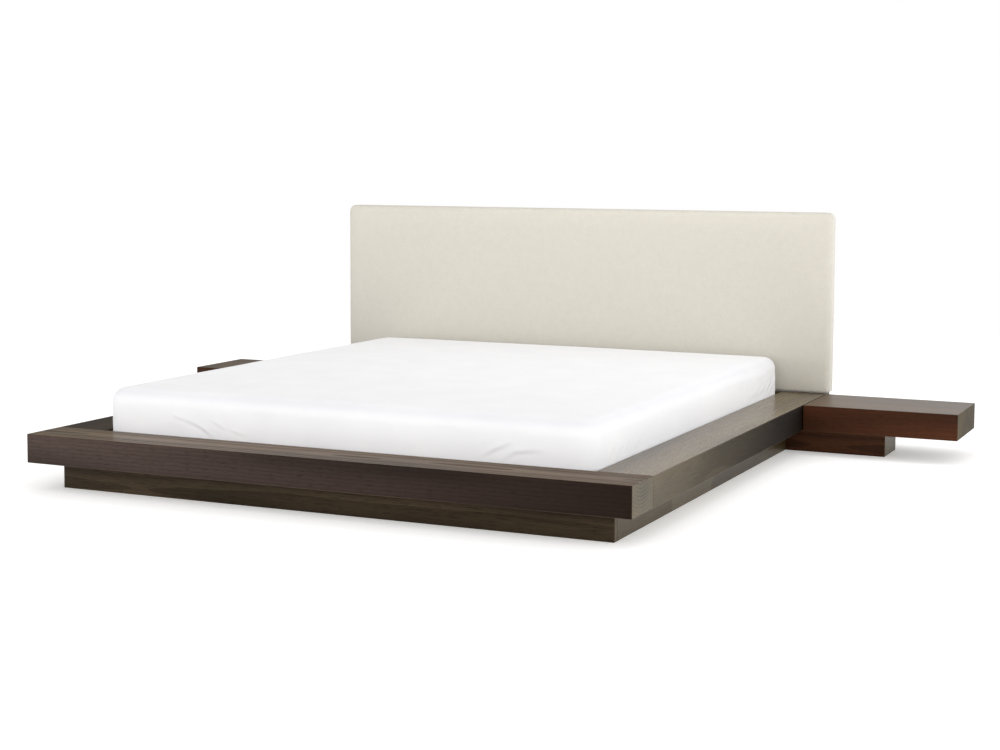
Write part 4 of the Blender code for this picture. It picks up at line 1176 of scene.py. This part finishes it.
# The bolsters are 170 mm wide at the deck and 110 mm at the top, and the liner lies on their slopes.
bolster_foot = 0.17
bolster_top = 0.11
liner_slope = (bolster_foot - bolster_top) / (bolster_high[2] - bolster_low[2])
liner_depth = liner_high[2] - liner_low[2]
liner_clear = 0.0006
liner_film = 0.0006
liner_foot_x = liner_high[0] - liner_slope * liner_depth - liner_clear
liner_foot_y = liner_half[1] - liner_slope * liner_depth - liner_clear
liner_corner = 0.02
liner_fold = 0.008
liner_pitch = 0.04
liner_ripple = 0.0004
liner_waves = (6, 9)
liner_steps = 10
film_cloud = 0.11
film_relief = 0.003


def vinyl_film(name, colour, depth_colour, gloss):
    """Soft PVC film: smooth and a little cloudy, with the shallow ripples of a calendered sheet."""
    vinyl = Finish(name)
    ripple = vinyl.noise(film_cloud, 5.0)
    tone = vinyl.ramp(ripple, (0.3, depth_colour), (0.7, colour))
    roughness = vinyl.spread(ripple, gloss, gloss + 0.15)
    return vinyl.done(ripple, 0.5, film_relief, Base_Color=tone, Roughness=roughness, IOR=1.53)


liner_vinyl = vinyl_film("calendered_vinyl_liner", "#8fa3b5", "#7d92a6", 0.25)
liner_mesh = bmesh.new()
liner_grid = skin_grid(liner_foot_x, liner_foot_y, liner_corner, liner_fold, liner_pitch)
liner_rim = soft_top(liner_mesh, liner_grid, liner_corner, liner_fold, lambda x, y: -liner_low[2])
liner_rows = []
for step in range(1, liner_steps + 1):
    drop = liner_fold + (liner_depth - liner_fold) * step / liner_steps
    liner_rows.append((-liner_low[2] - drop, liner_slope * drop - liner_clear))


def liner_crease(point, outward, height):
    """How far a point of the liner's side stands out: always a little in from the foam."""
    sideways, upwards = liner_waves
    spot = Vector((point.x * sideways, point.y * sideways, height * upwards))
    return -liner_ripple * (1 + noise.noise(spot))


skirt(liner_mesh, liner_rim, liner_foot_x, liner_foot_y, liner_corner, liner_rows, liner_pitch, liner_crease)
liner_mesh.transform(turned_over)
liner = new_piece("vinyl_safety_liner", liner_mesh, liner_vinyl)
thicken(liner, liner_film)
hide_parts("safety_liner")

# Water chambers. Two bags of thick vinyl, welded round their edges and filled with water, lie side by
# side. Each has a recessed filling valve towards the foot, closed by a ribbed screw cap.
chamber_voxel = 0.014
chamber_slack = 0.0045
chamber_clear = 0.0003
chamber_pressure = 3.0
valve_clear = 0.046
valve_recess = 0.03
valve_sink = 0.001
water_vinyl = vinyl_film("welded_water_vinyl", "#86a7c0", "#6f93b0", 0.2)


def soft_chamber(side):
    """The solid of a chamber, remeshed in small even faces that can bend like vinyl."""
    mesh = node_copy(f"water_core_{side}")
    piece = new_piece(f"water_chamber_{side}", mesh, water_vinyl)
    remesh = piece.modifiers.new("remesh", "REMESH")
    remesh.mode = "VOXEL"
    remesh.voxel_size = chamber_voxel
    apply_modifiers(piece)
    piece.data.shade_smooth()
    return piece


for side in sides:
    valve_low, _, valve_middle, _ = measured(f"fill_valve_{side}")
    chamber = soft_chamber(side)
    held = []
    outwards = [vertex.normal.copy() for vertex in chamber.data.vertices]
    for vertex, outward in zip(chamber.data.vertices, outwards):
        near = (vertex.co.xy - Vector(valve_middle[:2])).length < valve_clear
        if near and vertex.co.z > valve_low[2] - valve_recess:
            held.append(vertex.index)
            vertex.co.z -= valve_sink
        else:
            vertex.co -= outward * chamber_slack
    inflate(chamber, held, chamber_pressure, chamber_slack - chamber_clear)
    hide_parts(f"water_core_{side}")

cap_ribs = 30
cap_steps = 90
cap_rib = (0.0009, 0.0009, 0.0125)
cap_rib_sink = 0.0001
cap_rib_start = 0.0015
valve_pvc = moulded_abs("moulded_pvc_valve", "#d9dad6", "#e6e6e2")
cap_pvc = moulded_abs("moulded_pvc_cap", "#3d4d66", "#4a5b76")
for side in sides:
    paint(valve_pvc, f"fill_valve_{side}")
    paint(cap_pvc, f"fill_cap_{side}")
    cap_low, _, cap_middle, cap_half = measured(f"fill_cap_{side}")
    rim_radius = cap_half[0] - cap_rib_sink
    rim_places = []
    for step in range(cap_steps):
        turn = math.tau * step / cap_steps
        x = cap_middle[0] + rim_radius * math.cos(turn)
        y = cap_middle[1] + rim_radius * math.sin(turn)
        rim_places.append((x, y, cap_low[2] + cap_rib_start))
    rib = bar(*cap_rib, small_arris)
    rib_look = ((0, 0, 1), cap_pvc, "valve_plastic", f"cap_{side}")
    row_along(f"cap_grip_ribs_{side}", rim_places, rib, cap_ribs, *rib_look)

# Mattress case, upper half. Wadding is quilted between two layers of knit in a diamond pattern, and a
# coil zip runs all the way round, a little above the rails' top.
quilt_low, quilt_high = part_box("cover_top")
quilt_crown = 0.006
quilt_top = quilt_high[2] - quilt_crown
quilt_edge = 0.041
quilt_diamond = 0.16
quilt_depth = 0.0045
quilt_seam = 0.011
quilt_sink = 0.0006
quilt_clear = 0.0005
quilt_inside = bolster_high[2] + quilt_clear
quilt_rib = 0.0024
zip_reach = 0.0006
zip_pitch = 0.0045
zip_steps = 720
zip_tooth = (0.0030, 0.0018, 0.0034)


def quilted_form(x, y):
    """A low crown, drawn down along two sets of crossing stitch lines."""
    crown = max(0.0, (1 - (x / case_half_width) ** 2) * (1 - (y / case_half_length) ** 2))
    depth = 0.0
    for across in (x + y, x - y):
        phase = (across / quilt_diamond) % 1
        distance = min(phase, 1 - phase) * quilt_diamond / math.sqrt(2)
        depth = max(depth, math.exp(-((distance / quilt_seam) ** 2)))
    return quilt_top - quilt_sink + quilt_crown * crown - quilt_depth * depth


quilted_knit = knit("quilted_polyester_knit", "#f0eee8", "#dedbd2", quilt_rib)
upper_case = case_shell(
    "mattress_case_quilted",
    quilt_edge,
    quilted_form,
    lambda x, y: quilt_inside,
    quilt_low[2],
    quilted_knit,
    on_deck,
)
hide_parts("cover_top")


def moulded_coil(name, colour):
    """Polyester zip coil, smooth and slightly shiny, with small changes of tone from tooth to tooth."""
    coil = Finish(name)
    cells = coil.add("TexWhiteNoise", output="Value", noise_dimensions="3D", Vector=coil.place)
    return coil.done(Base_Color=coil.ramp(cells, (0.0, colour), (1.0, "#e2dfd6")), Roughness=0.35)


zip_path = []
for step in range(zip_steps):
    turn = math.tau * step / zip_steps
    far = Vector((2 * math.cos(turn), 2 * math.sin(turn)))
    near = far * min(case_half_width / max(1e-9, abs(far.x)), case_half_length / max(1e-9, abs(far.y)))
    spot = on_outline(*near, case_half_width + zip_reach, case_half_length + zip_reach, case_corner)[0]
    zip_path.append((spot.x, spot.y + mattress_middle, quilt_low[2] - zip_tooth[2] / 2))
zip_length = 2 * math.pi * case_corner + 4 * (case_half_width + case_half_length - 2 * case_corner)
zip_coil = moulded_coil("polyester_zip_coil", "#cfccc2")
zip_count = round(zip_length / zip_pitch)
zip_look = ((0, 0, 1), zip_coil, "quilted_cover")
row_along("mattress_zip_teeth", zip_path, bar(*zip_tooth, 2 * small_arris), zip_count, *zip_look)

# Fitted sheet. One piece of white cotton percale, sewn at the corners and drawn tight over the mattress
# by an elastic hem under its edge. It creases a little where the corners pull, beside the rails.
sheet_low, sheet_high, _, sheet_half = measured("fitted_sheet")
sheet_edge = 0.045
sheet_corner = 0.060
sheet_crown = 0.006
sheet_pitch_top = 0.024
sheet_pitch_side = 0.006
sheet_cloth = 0.0008
sheet_belly = 0.0015
sheet_gather = 0.0012
sheet_gather_pitch = 0.022
sheet_gather_reach = 0.05
sheet_clear = 0.0015
# Waves of the sheet's sides and of its top: how high, and how many to a metre.
sheet_side_waves = ((0.0010, 9.0), (0.0006, 23.0))
sheet_top_waves = ((0.0008, 2.2), (0.0005, 7.0))
# Where a crease begins, as a share of half a wave, how sharp it is, and how deep the hollow under it.
crease_begin = 0.12
crease_sharpness = 1.6
crease_hollow = 0.9
crease_reach = 3
# Only where a side looks this squarely to the foot or to the right has it creases.
straight_side = 0.99
sheet_half_width = sheet_half[0] - sheet_clear
sheet_half_length = sheet_half[1] - sheet_clear
sheet_top = sheet_high[2] - sheet_crown
sheet_hem = sheet_low[2]
percale_thread = 0.0012
percale_cloud = 0.17
percale_ripple = 0.038
percale_relief = 0.0004

# Each crease runs through places on its side, given as the distance along the side and the height, with
# its width and its depth: at the foot the distance is x, and at the right y.
foot_creases = (
    (((-0.625, 0.256), (-0.572, 0.243), (-0.529, 0.227)), 0.010, 0.0016),
    (((-0.548, 0.240), (-0.505, 0.220), (-0.470, 0.197)), 0.012, 0.0024),
    (((-0.469, 0.247), (-0.443, 0.237), (-0.417, 0.223)), 0.009, 0.0014),
    (((-0.398, 0.224), (-0.370, 0.214), (-0.340, 0.207)), 0.010, 0.0014),
    (((0.528, 0.206), (0.570, 0.230), (0.612, 0.248)), 0.012, 0.0024),
    (((0.601, 0.201), (0.635, 0.224), (0.712, 0.235)), 0.012, 0.0022),
)
right_creases = (
    (((-0.850, 0.200), (-0.838, 0.222), (-0.815, 0.240)), 0.012, 0.0022),
    (((-0.790, 0.198), (-0.775, 0.218), (-0.750, 0.232)), 0.011, 0.0020),
    (((-0.720, 0.198), (-0.705, 0.220), (-0.690, 0.238)), 0.012, 0.0018),
    (((-0.640, 0.198), (-0.620, 0.214), (-0.585, 0.226)), 0.012, 0.0018),
    (((0.630, 0.208), (0.720, 0.222), (0.800, 0.250)), 0.016, 0.0012),
    (((0.720, 0.204), (0.810, 0.224), (0.890, 0.262)), 0.016, 0.0014),
    (((0.820, 0.206), (0.900, 0.232), (0.965, 0.280)), 0.015, 0.0016),
    (((0.900, 0.204), (0.960, 0.230), (1.010, 0.272)), 0.013, 0.0020),
)


def crease_height(creases, along, height):
    """How far the creases lift the cloth: each is a ridge with a hollow under it, and dies out at its
    ends."""
    spot = Vector((along, height))
    lift = 0.0
    for line, width, depth in creases:
        found = []
        travelled = 0.0
        for start, end in zip(line, line[1:]):
            run = Vector(end) - Vector(start)
            share = max(0.0, min(1.0, (spot - Vector(start)).dot(run) / run.length_squared))
            offset = spot - (Vector(start) + run * share)
            above = math.copysign(offset.length, run.x * offset.y - run.y * offset.x)
            found.append((offset.length, above, travelled + run.length * share))
            travelled += run.length
        distance, above, reached = min(found, key=lambda entry: entry[0])
        if distance > crease_reach * width:
            continue
        share = reached / travelled
        strength = depth * math.sin(math.pi * (crease_begin + (1 - 2 * crease_begin) * share))
        offsets = (above - width / 2, above + width / 2)
        ridge, hollow = (math.exp(-((offset / (width / crease_sharpness)) ** 2)) for offset in offsets)
        lift += strength * (ridge - crease_hollow * hollow)
    return lift


def sheet_fold(point, outward, height):
    """How far the side of the sheet stands out: a slow wave, the creases, and the gathers of the hem."""
    spot = Vector((point.x, point.y, height))
    lift = sum(high * noise.noise(spot * rate) for high, rate in sheet_side_waves)
    if outward.y < -straight_side:
        lift += crease_height(foot_creases, point.x, height)
    if outward.x > straight_side:
        lift += crease_height(right_creases, point.y + mattress_middle, height)
    low = max(0.0, 1 - (height - sheet_hem) / sheet_gather_reach)
    travel = point.x if abs(outward.y) > abs(outward.x) else point.y
    lift += sheet_gather * low**2 * math.sin(math.tau * travel / sheet_gather_pitch)
    return lift


def sheet_form(x, y):
    """The height of the sheet's top: a low crown with slow waves, where it lies on the quilting."""
    crown = max(0.0, (1 - (x / sheet_half_width) ** 2) * (1 - (y / sheet_half_length) ** 2))
    height = sheet_top + sheet_crown * crown**0.5
    for layer, (high, rate) in enumerate(sheet_top_waves):
        height += high * noise.noise(Vector((x * rate, y * rate, 0.7 + 2 * layer)))
    return height


def percale(name, thread, edge):
    """Bleached cotton percale, a plain weave. The threads are drawn three times as coarse as real ones,
    so that the weave shows, and the cloth keeps faint clouds from washing. edge is the painted shade by
    which it is greyer where it bends."""
    cotton = Finish(name)
    weave = cotton.crossed_waves(cotton.add("UVMap", output="UV"), "XY", thread)
    tone = cotton.ramp(cotton.noise(percale_cloud, 5.0), (0.3, "#e9e9eb"), (0.7, "#ededee"))
    tone = cotton.blend(1.0, tone, cotton.spread(weave, 0.97, 1.0, -1.0), "MULTIPLY")
    # Where it is drawn over an edge of the mattress it is painted greyer: painted shade, to damp the bright
    # rim there.
    up = cotton.split(cotton.facing())["Z"]
    level = cotton.calculate("MULTIPLY", up, up)
    bend = cotton.calculate("MULTIPLY", level, cotton.calculate("SUBTRACT", 1.0, level))
    tone = cotton.blend(cotton.spread(bend, 0.0, 1.0, 0.0, 0.25), tone, edge, "MULTIPLY")
    relief = cotton.calculate("MULTIPLY_ADD", cotton.noise(percale_ripple, 3.0), 6.0, weave)
    cloth_values = {"Roughness": 0.9, "Sheen_Weight": 0.15, "IOR": 1.4}
    return cotton.done(relief, 0.25, percale_relief, Base_Color=tone, **cloth_values)


white_percale = percale("bleached_cotton_percale", percale_thread, "#f1f1f2")
sheet_mesh = bmesh.new()
sheet_outline = (sheet_half_width, sheet_half_length, sheet_corner)
sheet_grid = skin_grid(*sheet_outline, sheet_edge, sheet_pitch_top)
sheet_rim = soft_top(sheet_mesh, sheet_grid, sheet_corner, sheet_edge, sheet_form)
sheet_bend = sheet_top - sheet_edge
row_count = round((sheet_bend - sheet_hem) / sheet_pitch_side)
sheet_rows = levels(sheet_bend, sheet_hem, row_count, -sheet_belly)
skirt(sheet_mesh, sheet_rim, *sheet_outline, sheet_rows, sheet_pitch_side, sheet_fold)
# Each point's place on the flat cloth, in metres, so that the threads follow the sheet.
flat_places = sheet_mesh.loops.layers.uv.new("flat")
for face in sheet_mesh.faces:
    for corner in face.loops:
        spot = corner.vert.co
        outward = on_outline(*spot.xy, *sheet_outline)[1]
        corner[flat_places].uv = spot.xy + outward * max(0.0, sheet_top - spot.z)
sheet_mesh.transform(on_deck)
sheet = new_piece("fitted_sheet_percale", sheet_mesh, white_percale)
thicken(sheet, sheet_cloth)
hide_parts("fitted_sheet")
